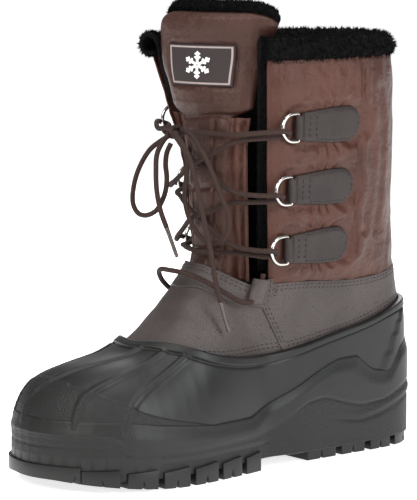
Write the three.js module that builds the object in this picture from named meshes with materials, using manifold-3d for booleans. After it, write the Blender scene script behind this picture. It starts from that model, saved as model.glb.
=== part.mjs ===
// An insulated hunting boot, left foot, in millimetres: toe at -Y, heel at +Y, lateral side at +X, +Z up.
// The sole rests on z = 0 and the origin is under the middle of the boot.
import * as THREE from "three";
import { mergeVertices } from "three/addons/utils/BufferGeometryUtils.js";
import Module from "manifold-3d";

// Overall sizes.
const FOOT_LENGTH = 322;
const FOOT_WIDTH = 119;
const SHAFT_HEIGHT = 286;
const TONGUE_HEIGHT = 318;

// Sole unit and what lies on it.
const TREAD_DEPTH = 8;
const TOE_LIFT = 9;
const SOLE_FLOOR = 22;
const FILLER = 6;
const BOARD = 2;
const INSOLE = 5;

// Walls of the upper, each counted outwards from the form.
const CUP_WALL = 2;
const SHELL_WALL = 2;
const SHELL_GAP = 1.4;
const CUP_GAP = 1;
const LIP_PROUD = 1.8;
const COLLAR_LAP = 8;
const LEATHER = 1.3;
const NYLON = 1.2;
const WADDING = 3.8;
const FUR = 5.2;
const BOOTIE = 5.2;
const INTERLINING = 2;
const CLEAR = 0.3;
const SEAT = 0.5;

// Hardware.
const RING_WIDTH = 21.6;
const RING_DEPTH = 17.5;
const RING_WIRE = 2.5;
const TAB_LENGTH = 58;
const TAB_FRONT = 20;
const TAB_BACK = 25;
const TAB_THICK = 1.6;
const LACE = 3.6;
const AGLET = 3.2;
const AGLET_LENGTH = 22;

const rings = [
  { level: 1, z: 239, bar: { lateral: 27, medial: 10 } },
  { level: 2, z: 195, bar: { lateral: 23, medial: 20 } },
  { level: 3, z: 153, bar: { lateral: 22, medial: 24 } },
];
const RING_TILT = 10;

const wasm = await Module();
wasm.setup();

const lerp = (a, b, t) => a + (b - a) * t;
const clamp = (v, low, high) => Math.min(high, Math.max(low, v));
const radians = THREE.MathUtils.degToRad;

// The hand-set points below are for the nominal sizes; these carry them to the sizes above.
const ANKLE = 100;
const sideways = (x) => (x * FOOT_WIDTH) / 119;
const along = (y) => (y * FOOT_LENGTH) / 322;
const upward = (z) => (z < ANKLE ? z : ANKLE + ((z - ANKLE) * (SHAFT_HEIGHT - ANKLE)) / (286 - ANKLE));
const place = ([x, y, z]) => [sideways(x), along(y), upward(z)];

// A smooth curve through points of any dimension.
function spline(points, steps, closed = false) {
  const count = points.length;
  const at = (i) => points[closed ? (i + count) % count : clamp(i, 0, count - 1)];
  const out = [];
  for (let i = 0; i < (closed ? count : count - 1); i++)
    for (let k = 0; k < steps; k++) {
      const t = k / steps;
      const [a, b, c, d] = [at(i - 1), at(i), at(i + 1), at(i + 2)];
      out.push(
        b.map(
          (_, j) =>
            0.5 *
            (2 * b[j] + (c[j] - a[j]) * t + (2 * a[j] - 5 * b[j] + 4 * c[j] - d[j]) * t * t +
              (3 * b[j] - a[j] - 3 * c[j] + d[j]) * t * t * t),
        ),
      );
    }
  if (!closed) out.push(points[count - 1].slice());
  return out;
}

// A function that runs smoothly through [at, value] keys without overshooting them.
function through(keys) {
  const slope = keys.slice(1).map(([x, y], i) => (y - keys[i][1]) / (x - keys[i][0]));
  const tangent = keys.map((_, i) => {
    const [a, b] = [slope[i - 1], slope[i]];
    if (a === undefined || b === undefined) return a ?? b;
    return a * b <= 0 ? 0 : (2 * a * b) / (a + b);
  });
  return (x) => {
    const last = keys.length - 1;
    if (x <= keys[0][0]) return keys[0][1];
    if (x >= keys[last][0]) return keys[last][1];
    const i = keys.findIndex(([at]) => at > x) - 1;
    const h = keys[i + 1][0] - keys[i][0];
    const t = (x - keys[i][0]) / h;
    return (
      (2 * t ** 3 - 3 * t * t + 1) * keys[i][1] +
      (t ** 3 - 2 * t * t + t) * h * tangent[i] +
      (3 * t * t - 2 * t ** 3) * keys[i + 1][1] +
      (t ** 3 - t * t) * h * tangent[i + 1]
    );
  };
}

// A point of a polyline at a share of its length.
function pointOn(points, share) {
  const lengths = [0];
  points.slice(1).forEach((p, i) => {
    lengths.push(lengths[i] + Math.hypot(...p.map((v, j) => v - points[i][j])));
  });
  const target = clamp(share, 0, 1) * lengths.at(-1);
  const i = Math.max(1, lengths.findIndex((l) => l >= target - 1e-9));
  const t = (target - lengths[i - 1]) / (lengths[i] - lengths[i - 1] || 1);
  return points[i].map((v, j) => lerp(points[i - 1][j], v, t));
}

// ---- The form that the upper is lasted on: a foot, blended into a leg ----

// Outline of the sole, from the back of the heel over the lateral side to the toe and back.
const OUTLINE = spline(
  [
    [0, 161], [28, 154], [42, 129], [44, 80], [46, 25], [55, -25], [60, -70], [54, -114], [32, -146], [-6, -161],
    [-41, -151], [-57, -116], [-59, -68], [-50, -25], [-41, 25], [-39, 80], [-40, 129], [-27, 154],
  ].map(([x, y]) => [sideways(x), along(y)]),
  4,
  true,
);
const FORM_BASE = 30;
const SHELL_OUT = SHELL_GAP + SHELL_WALL;
const CUP_OUT = SHELL_OUT + CUP_GAP + CUP_WALL;
const alongKeys = (keys) => through(keys.map(([y, value]) => [along(y), value]));
const instep = alongKeys([
  [-156, 72], [-138, 76], [-115, 78], [-90, 82], [-72, 89], [-58, 100], [-44, 116], [-30, 132], [-15, 147],
  [5, 160], [25, 172], [70, 182], [150, 170],
]);
const halfWidth = alongKeys([[-150, 48], [-90, 52], [-60, 50], [0, 42], [60, 36], [150, 36]]);
const squareness = alongKeys([[-150, 2.6], [-100, 2.4], [-50, 2.1], [0, 2.0], [60, 2.3], [150, 2.5]]);

// Distance inside the sole's outline.
function inward(x, y) {
  let nearest = Infinity;
  let inside = false;
  OUTLINE.forEach(([bx, by], i) => {
    const [ax, ay] = OUTLINE[(i + OUTLINE.length - 1) % OUTLINE.length];
    const [ex, ey] = [bx - ax, by - ay];
    const t = clamp(((x - ax) * ex + (y - ay) * ey) / (ex * ex + ey * ey), 0, 1);
    nearest = Math.min(nearest, Math.hypot(x - ax - t * ex, y - ay - t * ey));
    if (ay > y !== by > y && x < ax + ((y - ay) / (by - ay)) * ex) inside = !inside;
  });
  return inside ? nearest : -nearest;
}

function foot(x, y, z) {
  const out = Math.max(1 - (inward(x, y) - CUP_OUT) / halfWidth(y), 0);
  const rise = Math.max(z - FORM_BASE, 0) / (instep(y) - FORM_BASE);
  const p = squareness(y);
  return ((out ** p + rise ** p) ** (1 / p) - 1) * halfWidth(y) * 0.9;
}

// Plan of the leg at five heights, from the middle of the back over the lateral side and the front.
const LEG = [
  [
    90,
    [
      [0, 150], [28, 143], [38, 110], [41, 60], [40, 25], [20, -2],
      [0, -10], [-20, -2], [-40, 25], [-40, 60], [-37, 110], [-27, 143],
    ],
  ],
  [
    150,
    [
      [0, 142], [29, 135], [42, 105], [46, 60], [44, 18], [27, -7],
      [0, -13], [-26, -7], [-42, 14], [-45, 50], [-41, 100], [-27, 134],
    ],
  ],
  [
    215,
    [
      [2, 141], [32, 135], [48, 106], [52, 60], [48, 14], [28, -12],
      [-2, -21], [-32, -12], [-48, 10], [-51, 50], [-46, 102], [-28, 134],
    ],
  ],
  [
    290,
    [
      [4, 138], [34, 132], [52, 106], [57, 60], [51, 16], [28, -14],
      [-8, -36], [-44, -32], [-60, -12], [-58, 45], [-50, 100], [-30, 132],
    ],
  ],
  [
    340,
    [
      [4, 138], [36, 132], [54, 106], [60, 60], [54, 16], [30, -16],
      [-10, -42], [-48, -40], [-66, -18], [-62, 42], [-53, 100], [-32, 132],
    ],
  ],
];
const LEG_AXIS = along(56);
const PLAN_STEPS = 180;
const legPlans = LEG.map(([z, points]) => {
  const polar = spline(points.map(([x, y]) => [sideways(x), along(y)]), 8, true)
    .map(([x, y]) => [Math.atan2(x, y - LEG_AXIS), Math.hypot(x, y - LEG_AXIS)])
    .sort((a, b) => a[0] - b[0]);
  const turn = 2 * Math.PI;
  const all = [[polar.at(-1)[0] - turn, polar.at(-1)[1]], ...polar, [polar[0][0] + turn, polar[0][1]]];
  const radii = [];
  for (let i = 0; i <= PLAN_STEPS; i++) {
    const angle = -Math.PI + (turn * i) / PLAN_STEPS;
    const k = Math.max(0, all.findIndex(([a]) => a > angle) - 1);
    const t = (angle - all[k][0]) / (all[k + 1][0] - all[k][0]);
    radii.push(lerp(all[k][1], all[k + 1][1], t));
  }
  return [upward(z), radii];
});

function legRadius(angle, z) {
  const at = ((angle + Math.PI) / (2 * Math.PI)) * PLAN_STEPS;
  const k = clamp(Math.floor(at), 0, PLAN_STEPS - 1);
  return through(legPlans.map(([height, radii]) => [height, lerp(radii[k], radii[k + 1], at - k)]))(z);
}

const leg = (x, y, z) => (Math.hypot(x, y - LEG_AXIS) - legRadius(Math.atan2(x, y - LEG_AXIS), z)) * 0.95;

const FORM_BLEND = 14;
function form(x, y, z) {
  const b = leg(x, y, z);
  if (z > upward(200)) return b;
  const a = foot(x, y, z);
  const h = clamp(0.5 + (0.5 * (b - a)) / FORM_BLEND, 0, 1);
  return lerp(b, a, h) - FORM_BLEND * h * (1 - h);
}

function gradient(x, y, z) {
  const e = 0.5;
  return [
    form(x + e, y, z) - form(x - e, y, z),
    form(x, y + e, z) - form(x, y - e, z),
    form(x, y, z + e) - form(x, y, z - e),
  ].map((v) => v / (2 * e));
}

// Moves a point onto the form, then out along the form's normal.
function onForm(point, out = 0) {
  let p = point.slice();
  for (let i = 0; i < 5; i++) {
    const g = gradient(...p);
    const step = form(...p) / (g[0] ** 2 + g[1] ** 2 + g[2] ** 2 || 1);
    p = p.map((v, j) => v - step * g[j]);
  }
  const g = gradient(...p);
  const size = Math.hypot(...g) || 1;
  return p.map((v, j) => v + (out * g[j]) / size);
}

// Where the form's straight lower wall, moved out, stands in plan in one direction from under the foot.
const PLAN_CENTRE = along(10);
function footprint(angle, out) {
  const [dx, dy] = [Math.sin(angle), Math.cos(angle)];
  let [low, high] = [0, along(190)];
  for (let k = 0; k < 18; k++) {
    const mid = (low + high) / 2;
    if (form(mid * dx, PLAN_CENTRE + mid * dy, FORM_BASE - 1) < out * 0.9) low = mid;
    else high = mid;
  }
  return [low * dx, PLAN_CENTRE + low * dy];
}

// ---- Ways of making a solid ----

function geometryOf(points, faces) {
  let volume = 0;
  for (const [a, b, c] of faces) {
    const [p, q, r] = [points[a], points[b], points[c]];
    volume +=
      p[0] * (q[1] * r[2] - q[2] * r[1]) + p[1] * (q[2] * r[0] - q[0] * r[2]) + p[2] * (q[0] * r[1] - q[1] * r[0]);
  }
  const index = volume < 0 ? faces.map(([a, b, c]) => [a, c, b]) : faces;
  const geometry = new THREE.BufferGeometry();
  geometry.setAttribute("position", new THREE.Float32BufferAttribute(points.flat(), 3));
  geometry.setIndex(index.flat());
  geometry.computeVertexNormals();
  return geometry;
}

// A wall between two skins of a surface: at(u, v, side) gives a point of the inner (0) or outer (1) skin.
// A closed wall joins its last column to its first; caps closes its v = 0 end with a floor.
function wall(at, columns, rows, { closed = false, floor = false } = {}) {
  const across = closed ? columns : columns + 1;
  const points = [];
  for (const side of [0, 1])
    for (let j = 0; j <= rows; j++) for (let i = 0; i < across; i++) points.push(at(i / columns, j / rows, side));
  const id = (i, j, side) => side * across * (rows + 1) + j * across + (i % across);
  const faces = [];
  const quad = (a, b, c, d) => faces.push([a, b, c], [a, c, d]);
  for (let j = 0; j < rows; j++)
    for (let i = 0; i < columns; i++) {
      for (const side of [0, 1]) {
        const [a, b, c, d] = [id(i, j, side), id(i + 1, j, side), id(i + 1, j + 1, side), id(i, j + 1, side)];
        faces.push(...(side ? [[a, b, c], [a, c, d]] : [[a, c, b], [a, d, c]]));
      }
    }
  for (let i = 0; i < columns; i++) {
    quad(id(i, rows, 1), id(i + 1, rows, 1), id(i + 1, rows, 0), id(i, rows, 0));
    if (!floor) quad(id(i, 0, 0), id(i + 1, 0, 0), id(i + 1, 0, 1), id(i, 0, 1));
  }
  if (!closed)
    for (let j = 0; j < rows; j++) {
      quad(id(0, j, 0), id(0, j, 1), id(0, j + 1, 1), id(0, j + 1, 0));
      quad(id(columns, j, 1), id(columns, j, 0), id(columns, j + 1, 0), id(columns, j + 1, 1));
    }
  if (floor)
    for (const side of [0, 1]) {
      const z = points[id(0, 0, side)][2];
      points.push([0, PLAN_CENTRE, z]);
      const middle = points.length - 1;
      for (let i = 0; i < columns; i++) {
        const [a, b] = [id(i, 0, side), id(i + 1, 0, side)];
        faces.push(side ? [middle, b, a] : [middle, a, b]);
      }
    }
  return geometryOf(points, faces);
}

// A panel lying on the form between hand-set rows of points, from the first row up to the last.
function panel(rowPoints, columns, rowsBetween, inner, outer, smooth = 4) {
  const rows = rowPoints.map((row) => spline(row.map(place), smooth));
  const layers = (rows.length - 1) * rowsBetween;
  return wall(
    (u, v, side) => {
      const at = Math.min(v * (rows.length - 1), rows.length - 1 - 1e-9);
      const k = Math.floor(at);
      const [a, b] = [pointOn(rows[k], u), pointOn(rows[k + 1], u)];
      return onForm(a.map((value, i) => lerp(value, b[i], at - k)), side ? outer : inner);
    },
    columns,
    layers,
  );
}

// A round cord or wire through points.
function rod(points, diameter, steps, sides = 6) {
  const section = new THREE.Shape();
  section.absarc(0, 0, diameter / 2, 0, 2 * Math.PI, false);
  const path = new THREE.CatmullRomCurve3(points.map((p) => new THREE.Vector3(...p)), false, "centripetal");
  return new THREE.ExtrudeGeometry(section, { steps, extrudePath: path, curveSegments: sides / 2 });
}

function toSolid(geometry) {
  const bare = geometry.clone();
  bare.deleteAttribute("normal");
  bare.deleteAttribute("uv");
  const merged = mergeVertices(bare, 1e-4);
  return new wasm.Manifold(
    new wasm.Mesh({
      numProp: 3,
      vertProperties: new Float32Array(merged.attributes.position.array),
      triVerts: new Uint32Array(merged.index.array),
    }),
  );
}

function fromSolid(solid) {
  const mesh = solid.getMesh();
  const geometry = new THREE.BufferGeometry();
  geometry.setAttribute("position", new THREE.BufferAttribute(mesh.vertProperties.slice(), 3));
  geometry.setIndex(new THREE.BufferAttribute(mesh.triVerts.slice(), 1));
  geometry.computeVertexNormals();
  return geometry;
}

const materials = {
  shell: new THREE.MeshStandardMaterial({ color: 0x3b3d3e, roughness: 0.55 }),
  leather: new THREE.MeshStandardMaterial({ color: 0x6b6562, roughness: 0.6 }),
  nylon: new THREE.MeshStandardMaterial({ color: 0x70503f, roughness: 0.5 }),
  tongueNylon: new THREE.MeshStandardMaterial({ color: 0x5a4442, roughness: 0.5 }),
  wadding: new THREE.MeshStandardMaterial({ color: 0xd8d4cc, roughness: 0.95 }),
  fur: new THREE.MeshStandardMaterial({ color: 0x17181a, roughness: 1 }),
  foam: new THREE.MeshStandardMaterial({ color: 0x8d8a84, roughness: 0.9 }),
  board: new THREE.MeshStandardMaterial({ color: 0x9b8a6e, roughness: 0.85 }),
  felt: new THREE.MeshStandardMaterial({ color: 0x4a4a4c, roughness: 0.95 }),
  nickel: new THREE.MeshStandardMaterial({ color: 0xc9c6bd, roughness: 0.2, metalness: 1 }),
  lace: new THREE.MeshStandardMaterial({ color: 0x4a3631, roughness: 0.8 }),
  tip: new THREE.MeshStandardMaterial({ color: 0x1b1717, roughness: 0.3 }),
  label: new THREE.MeshStandardMaterial({ color: 0x4c3c3b, roughness: 0.6 }),
  print: new THREE.MeshStandardMaterial({ color: 0xe6e3df, roughness: 0.6 }),
};

const boot = new THREE.Group();
function add(name, geometry, material) {
  const mesh = new THREE.Mesh(geometry, material);
  mesh.name = name;
  boot.add(mesh);
  return mesh;
}

// ---- Sole unit: a cup whose side wall wraps the shell, on a lugged tread ----

const CUP_ROWS = 3;
const cupTop = alongKeys([
  [-161, 47], [-130, 47], [-95, 44], [-55, 40], [-20, 36], [15, 51], [50, 71], [64, 71], [79, 66], [100, 59],
  [120, 57], [132, 72], [161, 80],
]);
function soleUnit() {
  const outlineShape = new THREE.Shape(OUTLINE.map(([x, y]) => new THREE.Vector2(x, y)));
  let sole = toSolid(new THREE.ExtrudeGeometry(outlineShape, { depth: SOLE_FLOOR, bevelEnabled: false }));
  const cup = wall(
    (u, v, side) => {
      const out = side ? CUP_OUT : SHELL_OUT + CUP_GAP;
      const [x, y] = footprint(2 * Math.PI * u, out);
      if (v === 0) return [x, y, SOLE_FLOOR - 3];
      const from = [x, y, SHELL_SHOULDER];
      const to = pointOn(collarLine, u);
      const edge = clamp((cupTop(y) - SHELL_SHOULDER) / (to[2] - SHELL_SHOULDER), 0.02, 0.8);
      const t = (edge * (v * CUP_ROWS - 1)) / (CUP_ROWS - 1);
      return onForm(from.map((value, i) => lerp(value, to[i], t)), out);
    },
    SHELL_COLUMNS,
    CUP_ROWS,
    { closed: true },
  );
  sole = sole.add(toSolid(cup));
  const cut = (x, y, z, width, depth, height, turn = 0) => {
    const box = new THREE.BoxGeometry(width, depth, height);
    box.rotateZ(radians(turn));
    box.translate(sideways(x), along(y), z);
    sole = sole.subtract(toSolid(box));
  };
  // The waist between forefoot and heel, and the grooves between the lugs.
  const wide = FOOT_WIDTH + 30;
  cut(0, 22, TREAD_DEPTH * 0.25, wide, 48, TREAD_DEPTH * 1.5);
  for (const y of [-122, -96, -70, -44, -20]) cut(0, y, TREAD_DEPTH * 0.25, wide, 5, TREAD_DEPTH * 1.5);
  for (const y of [76, 104, 130]) cut(0, y, TREAD_DEPTH * 0.25, wide, 6, TREAD_DEPTH * 1.5);
  cut(0, -70, TREAD_DEPTH * 0.25, 26, 150, TREAD_DEPTH * 1.5);
  cut(0, 110, TREAD_DEPTH * 0.25, 22, 70, TREAD_DEPTH * 1.5);
  // The toe is lifted clear of the ground along a curve.
  const spring = new THREE.Shape();
  const start = along(-75);
  const lift = (y) => TOE_LIFT * ((start - y) / (start - along(-161))) ** 1.6;
  spring.moveTo(start, -5);
  for (let i = 0; i <= 8; i++) spring.lineTo(start - i * along(11.5), lift(start - i * along(11.5)));
  spring.lineTo(start - along(92), -5);
  const wedge = new THREE.ExtrudeGeometry(spring, { depth: wide, bevelEnabled: false });
  wedge.rotateX(Math.PI / 2).rotateZ(Math.PI / 2).translate(-wide / 2, 0, 0);
  return fromSolid(sole.subtract(toSolid(wedge)));
}
// ---- Moulded rubber shell: a bowl up to the collar, thickened to a lip at its edge ----

const COLLAR = [
  [0, 150, 107], [24, 146, 106], [38, 134, 103], [44, 105, 95], [47, 70, 89], [47, 35, 83], [46, 8, 80], [48, -20, 82],
  [47, -42, 87], [36, -60, 94], [20, -70, 97], [0, -76, 97], [-20, -72, 97], [-36, -62, 94], [-47, -44, 87],
  [-48, -20, 82], [-44, 8, 80], [-44, 35, 83], [-43, 70, 89], [-42, 105, 95], [-36, 134, 103], [-22, 146, 106],
];
const collarLine = spline([...COLLAR, COLLAR[0]].map(place), 4);
const FLOOR_GAP = SOLE_FLOOR + CLEAR;
const SHELL_SHOULDER = 38;
const SHELL_COLUMNS = 56;
const SHELL_ROWS = 6;
// skins are the distances of its inner and outer face from the form, and floors the heights of its floor.
function bowl({ top, skins, floors, columns, rows, lip = skins[1] }) {
  const [inner, outer] = skins;
  const base = (u, side) => [...footprint(2 * Math.PI * u, skins[side]), floors[side]];
  return wall(
    (u, v, side) => {
      const foot = base(u, side);
      if (v === 0) return foot;
      const from = [foot[0], foot[1], SHELL_SHOULDER];
      const to = top(u);
      const t = (v * rows - 1) / (rows - 1);
      const out = side ? lerp(outer, lip, t > 0.99 ? 1 : 0) : inner;
      return onForm(from.map((value, i) => lerp(value, to[i], t)), out);
    },
    columns,
    rows,
    { closed: true, floor: true },
  );
}
add(
  "rubber_shell",
  bowl({
    top: (u) => pointOn(collarLine, u),
    skins: [SHELL_GAP, SHELL_OUT],
    floors: [FLOOR_GAP + SHELL_WALL, FLOOR_GAP],
    columns: SHELL_COLUMNS,
    rows: SHELL_ROWS,
    lip: SHELL_OUT + LIP_PROUD,
  }),
  materials.shell,
);

add("outsole", soleUnit(), materials.shell);

// ---- Inside the shell: filler, lasting board, bootie and the removable insole ----

function slab(z, thick, inset) {
  const ring = Array.from({ length: 44 }, (_, i) => footprint((2 * Math.PI * i) / 44, -inset));
  const shape = new THREE.Shape(ring.map(([x, y]) => new THREE.Vector2(x, y)).reverse());
  const geometry = new THREE.ExtrudeGeometry(shape, { depth: thick, bevelEnabled: false });
  return geometry.translate(0, 0, z);
}
const fillerBase = FLOOR_GAP + SHELL_WALL + CLEAR;
add("sole_filler", slab(fillerBase, FILLER, 1), materials.foam);
const boardBase = fillerBase + FILLER + CLEAR;
add("lasting_board", slab(boardBase, BOARD, 2), materials.board);
const bootieBase = boardBase + BOARD + CLEAR;

const THROAT = [
  [0, 142, 129], [27, 135, 129], [41, 105, 129], [45, 60, 129], [43, 20, 129], [30, -4, 131], [12, -15, 134], [0, -18, 135],
  [-12, -15, 134], [-30, -4, 131], [-41, 20, 129], [-43, 60, 129], [-40, 105, 129], [-25, 135, 129],
];
const throatLine = spline([...THROAT, THROAT[0]].map(place), 4);
const bootieOuter = -(LEATHER + INTERLINING + CLEAR);
const bootieInner = bootieOuter - BOOTIE;
const bootieFloor = bootieBase + BOOTIE * 0.7;
add(
  "foot_lining",
  bowl({
    top: (u) => pointOn(throatLine, u),
    skins: [bootieInner, bootieOuter],
    floors: [bootieFloor, bootieBase],
    columns: 40,
    rows: 9,
  }),
  materials.fur,
);
const insoleBase = bootieFloor + CLEAR;
add("insole", slab(insoleBase, INSOLE, -bootieInner + 5), materials.felt);

// ---- Leather panels above the shell ----

const lateral = (points) => points;
const medial = (points) => points.map(([x, y, z]) => [-x, y, z]);
const both = (half) => [...half, ...medial(half.slice(0, -1)).reverse()];
const underCollar = ([x, y, z]) => [x, y, z - COLLAR_LAP];

// The vamp runs from one side over the instep to the other.
add(
  "vamp",
  panel(
    [
      both([...[[46, 22, 83], [47, -20, 82], [46, -45, 85], [34, -68, 90]].map(underCollar), [0, -90, 88]]),
      both([[37, 4, 112], [37, -9, 116], [31, -26, 122], [17, -38, 129], [0, -43, 127]]),
    ],
    28,
    3,
    -LEATHER,
    0,
  ),
  materials.leather,
);
add(
  "throat_band",
  panel(
    [
      both([[38, 5, 114.5], [37, -7, 118.5], [31, -23, 125], [17, -34, 132], [0, -39, 131]]),
      both([[40, 9, 126], [34, -4, 131], [22, -17, 139], [10, -22, 143], [0, -24, 144]]),
    ],
    28,
    2,
    -LEATHER,
    0.1,
  ),
  materials.leather,
);
// Each quarter reaches from under the shell's collar to the seam with the shaft, and back to the heel.
const HEEL_GAP = 0.4;
const SEAM = [[41, 14, 129], [45, 39, 129], [44, 86, 126], [40, 117, 127], [30, 134, 130], [HEEL_GAP, 142, 132]];
const quarterRows = [
  [[45.5, 27, 83], [47, 70, 89], [44, 105, 95], [36, 135, 103], [HEEL_GAP, 150, 107]].map(underCollar),
  [[38.5, 8.5, 114], [44, 45, 112], [42, 95, 112], [30, 136, 114], [HEEL_GAP, 146, 116]],
  SEAM,
];
add("quarter_lateral", panel(quarterRows, 16, 2, -LEATHER, 0), materials.leather);
add("quarter_medial", panel(quarterRows.map(medial), 16, 2, -LEATHER, 0), materials.leather);

// ---- Lace: the throat run goes through a sleeve at each side, then zigzags through the rings ----

const throatRun = both([
  [42.5, 7, 137], [43, 4.5, 128], [42, 1.5, 119.5], [40, -8, 118], [34, -22, 126], [25, -32.5, 134], [13, -40, 138.5], [0, -43, 139.5],
]).map(place);
const throatLace = rod(throatRun, LACE, 30);

// Each sleeve is a leather band over the lace, open at both ends.
function sleeve(side) {
  const mirror = side === "lateral" ? lateral : medial;
  const rows = [
    mirror([[40.5, 0, 118], [42.5, 10.5, 116]]),
    mirror([[41, 3.5, 133], [43.5, 12.5, 132.5]]),
  ];
  const block = toSolid(panel(rows, 4, 3, CLEAR + 0.3, LACE + 3.6));
  const passage = toSolid(rod(throatRun, LACE + 2 * CLEAR + 0.4, 30));
  const opened = block.subtract(passage).decompose();
  return fromSolid(opened.sort((a, b) => b.volume() - a.volume())[0]);
}
add("lace_sleeve_lateral", sleeve("lateral"), materials.leather);
add("lace_sleeve_medial", sleeve("medial"), materials.leather);
add("lace_throat_run", throatLace, materials.lace);

// ---- Shaft: nylon outside, wadding, and a fur lining that rolls over the top edge ----

const FRONT_LATERAL = radians(136.5);
const FRONT_MEDIAL = radians(-139);
const SHAFT_FOOT = 131;
function onLeg(angle, z, out) {
  const r = legRadius(angle, z);
  return onForm([r * Math.sin(angle), LEG_AXIS + r * Math.cos(angle), z], out);
}
const SEAM_GAP = 0.9;
const seamHeight = through(SEAM.map(([, y, z]) => [along(y), upward(z)]));
const shaftFoot = (angle) => seamHeight(LEG_AXIS + legRadius(angle, upward(SHAFT_FOOT)) * Math.cos(angle)) + SEAM_GAP;
const STATIONS = 26;
const LEVELS = [137, 155, 190, 235, 272, 282];
// The angle of a station; a lap moves only the first and last, so layers share the stations between.
function station(i, lap = 0) {
  const angle = lerp(FRONT_LATERAL, FRONT_MEDIAL, i / STATIONS);
  return angle + (i === 0 ? lap : i === STATIONS ? -lap : 0);
}
// A layer of the shaft; a hidden one starts a station and a level inside the nylon's edges.
function shaftLayer(inner, outer, hidden = 0) {
  const heights = LEVELS.map(upward);
  const rows = hidden ? heights : [null, ...heights, SHAFT_HEIGHT];
  const columns = STATIONS - 2 * hidden;
  return wall(
    (u, v, side) => {
      const angle = station(hidden + Math.round(u * columns));
      const z = rows[Math.round(v * (rows.length - 1))] ?? shaftFoot(angle);
      return onLeg(angle, z, side ? outer : inner);
    },
    columns,
    rows.length - 1,
  );
}
add("shaft_nylon", shaftLayer(-NYLON, 0), materials.nylon);
const waddingOuter = -NYLON - SEAT;
const waddingInner = waddingOuter - WADDING;
add("shaft_wadding", shaftLayer(waddingInner, waddingOuter, 1), materials.wadding);
const furOuter = waddingInner - SEAT;
const furInner = furOuter - FUR;
const FRONT_LAP = 0.07;
function shaftLining() {
  const rim = SHAFT_HEIGHT + 1;
  const heights = LEVELS.map(upward);
  const profile = [
    ...heights.map((z) => [furOuter, z]), [furOuter, rim - 1], [1.2, rim], [2.2, rim + 5],
    [-1.5, rim + 11], [furOuter, rim + 13], [furInner, rim + 9], [furInner - 1, rim - 4],
    ...heights.reverse().map((z) => [furInner, z]),
  ];
  const points = [];
  for (let i = 0; i <= STATIONS; i++)
    for (const [out, z] of profile) points.push(onLeg(station(i, FRONT_LAP), z, out));
  const n = profile.length;
  const faces = [];
  for (let i = 0; i < STATIONS; i++)
    for (let j = 0; j < n; j++) {
      const [a, b, c, d] = [i * n + j, i * n + ((j + 1) % n), (i + 1) * n + ((j + 1) % n), (i + 1) * n + j];
      faces.push([a, b, c], [a, c, d]);
    }
  const flat = profile.map(([x, z]) => new THREE.Vector2(x, z));
  const turnsLeft = THREE.ShapeUtils.area(flat) > 0;
  for (const [a, b, c] of THREE.ShapeUtils.triangulateShape(flat, [])) {
    const same = THREE.ShapeUtils.area([flat[a], flat[b], flat[c]]) > 0 === turnsLeft;
    const [p, q, r] = same ? [a, b, c] : [a, c, b];
    faces.push([p, r, q], [STATIONS * n + p, STATIONS * n + q, STATIONS * n + r]);
  }
  return geometryOf(points, faces);
}
add("shaft_lining", shaftLining(), materials.fur);

// ---- Tongue: nylon front, wadding and fur back, in a lower half and an upper flap that folds ----

const FOLD = 249;
const FOLD_GAP = 1.6;
const TONGUE_FOOT = 141;
const tongueKeys = (values) => through(values.map(([z, v]) => [upward(z), v]));
const tongueCentre = tongueKeys([[140, 0], [200, -1], [262, -3.5], [280, -5], [292, -5], [314, 2]]);
const tongueHalf = tongueKeys([[140, 27], [165, 28], [200, 31], [225, 34], [262, 37], [280, 39], [292, 40], [314, 46]]);
const tongueFront = tongueKeys([[140, -17], [152, -14], [165, -13], [262, -13], [290, -12], [318, -14]]);
const tongueSlope = tongueKeys([[225, 0], [262, 9], [290, 17], [318, 18]]);
const tongueBow = tongueKeys([[140, 16], [165, 12], [225, 10], [262, 12], [318, 14]]);
// A point of the tongue: u from the medial (-1) to the lateral edge (1), and a depth behind its face.
function onTongue(u, z, behind) {
  const at = (w, h) => [
    sideways(tongueCentre(h) + tongueHalf(h) * w),
    along(tongueFront(h) + tongueSlope(h) * w + tongueBow(h) * w * w),
  ];
  const [x, y] = at(u, z);
  const [ax, ay] = at(u - 0.02, z);
  const [bx, by] = at(u + 0.02, z);
  const size = Math.hypot(bx - ax, by - ay);
  return [x - ((by - ay) / size) * behind, y + ((bx - ax) / size) * behind, z];
}
const tongueTop = TONGUE_HEIGHT;
const topScale = (TONGUE_HEIGHT - upward(FOLD)) / (318 - 249);
// A layer of the tongue between two heights and two depths; trim leaves out a share at each edge.
const CORNER_DROP = 11;
const CORNER_SHARE = 0.45;
function tongueLayer([from, to], [front, back], trim, round = false) {
  const corner = (u) => {
    const past = Math.max(0, Math.abs(2 * u - 1) - 1 + CORNER_SHARE) / CORNER_SHARE;
    return CORNER_DROP * topScale * (1 - Math.sqrt(Math.max(0, 1 - past ** 2)));
  };
  return wall(
    (u, v, side) => {
      const edge = lerp(-1 + trim, 1 - trim, u);
      const z = lerp(from, round ? to - corner(u) : to, v);
      return onTongue(edge, z, side ? front : back);
    },
    10,
    6,
  );
}
const lowTop = upward(FOLD) - FOLD_GAP / 2;
const highFoot = upward(FOLD) + FOLD_GAP / 2;
const PANEL_EDGE = 0.3;
const LAYER_GAP = 1;
const tonguePad = NYLON + LAYER_GAP;
const tongueFur = tonguePad + WADDING + LAYER_GAP;
const padSkins = [tonguePad, tonguePad + WADDING];
const lowFoot = upward(TONGUE_FOOT + 6);
const lowFur = [tongueFur, tongueFur + FUR - 1];
add("tongue_face", tongueLayer([lowFoot - 2, lowTop], [0, NYLON], PANEL_EDGE), materials.tongueNylon);
add("tongue_wadding", tongueLayer([lowFoot, lowTop], padSkins, PANEL_EDGE + 0.1), materials.wadding);
add("tongue_lining", tongueLayer([lowFoot, lowTop], lowFur, PANEL_EDGE), materials.fur);
const flapFur = [tongueFur, tongueFur + FUR];
add("flap_face", tongueLayer([highFoot, tongueTop], [0, NYLON], 0, true), materials.tongueNylon);
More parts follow.
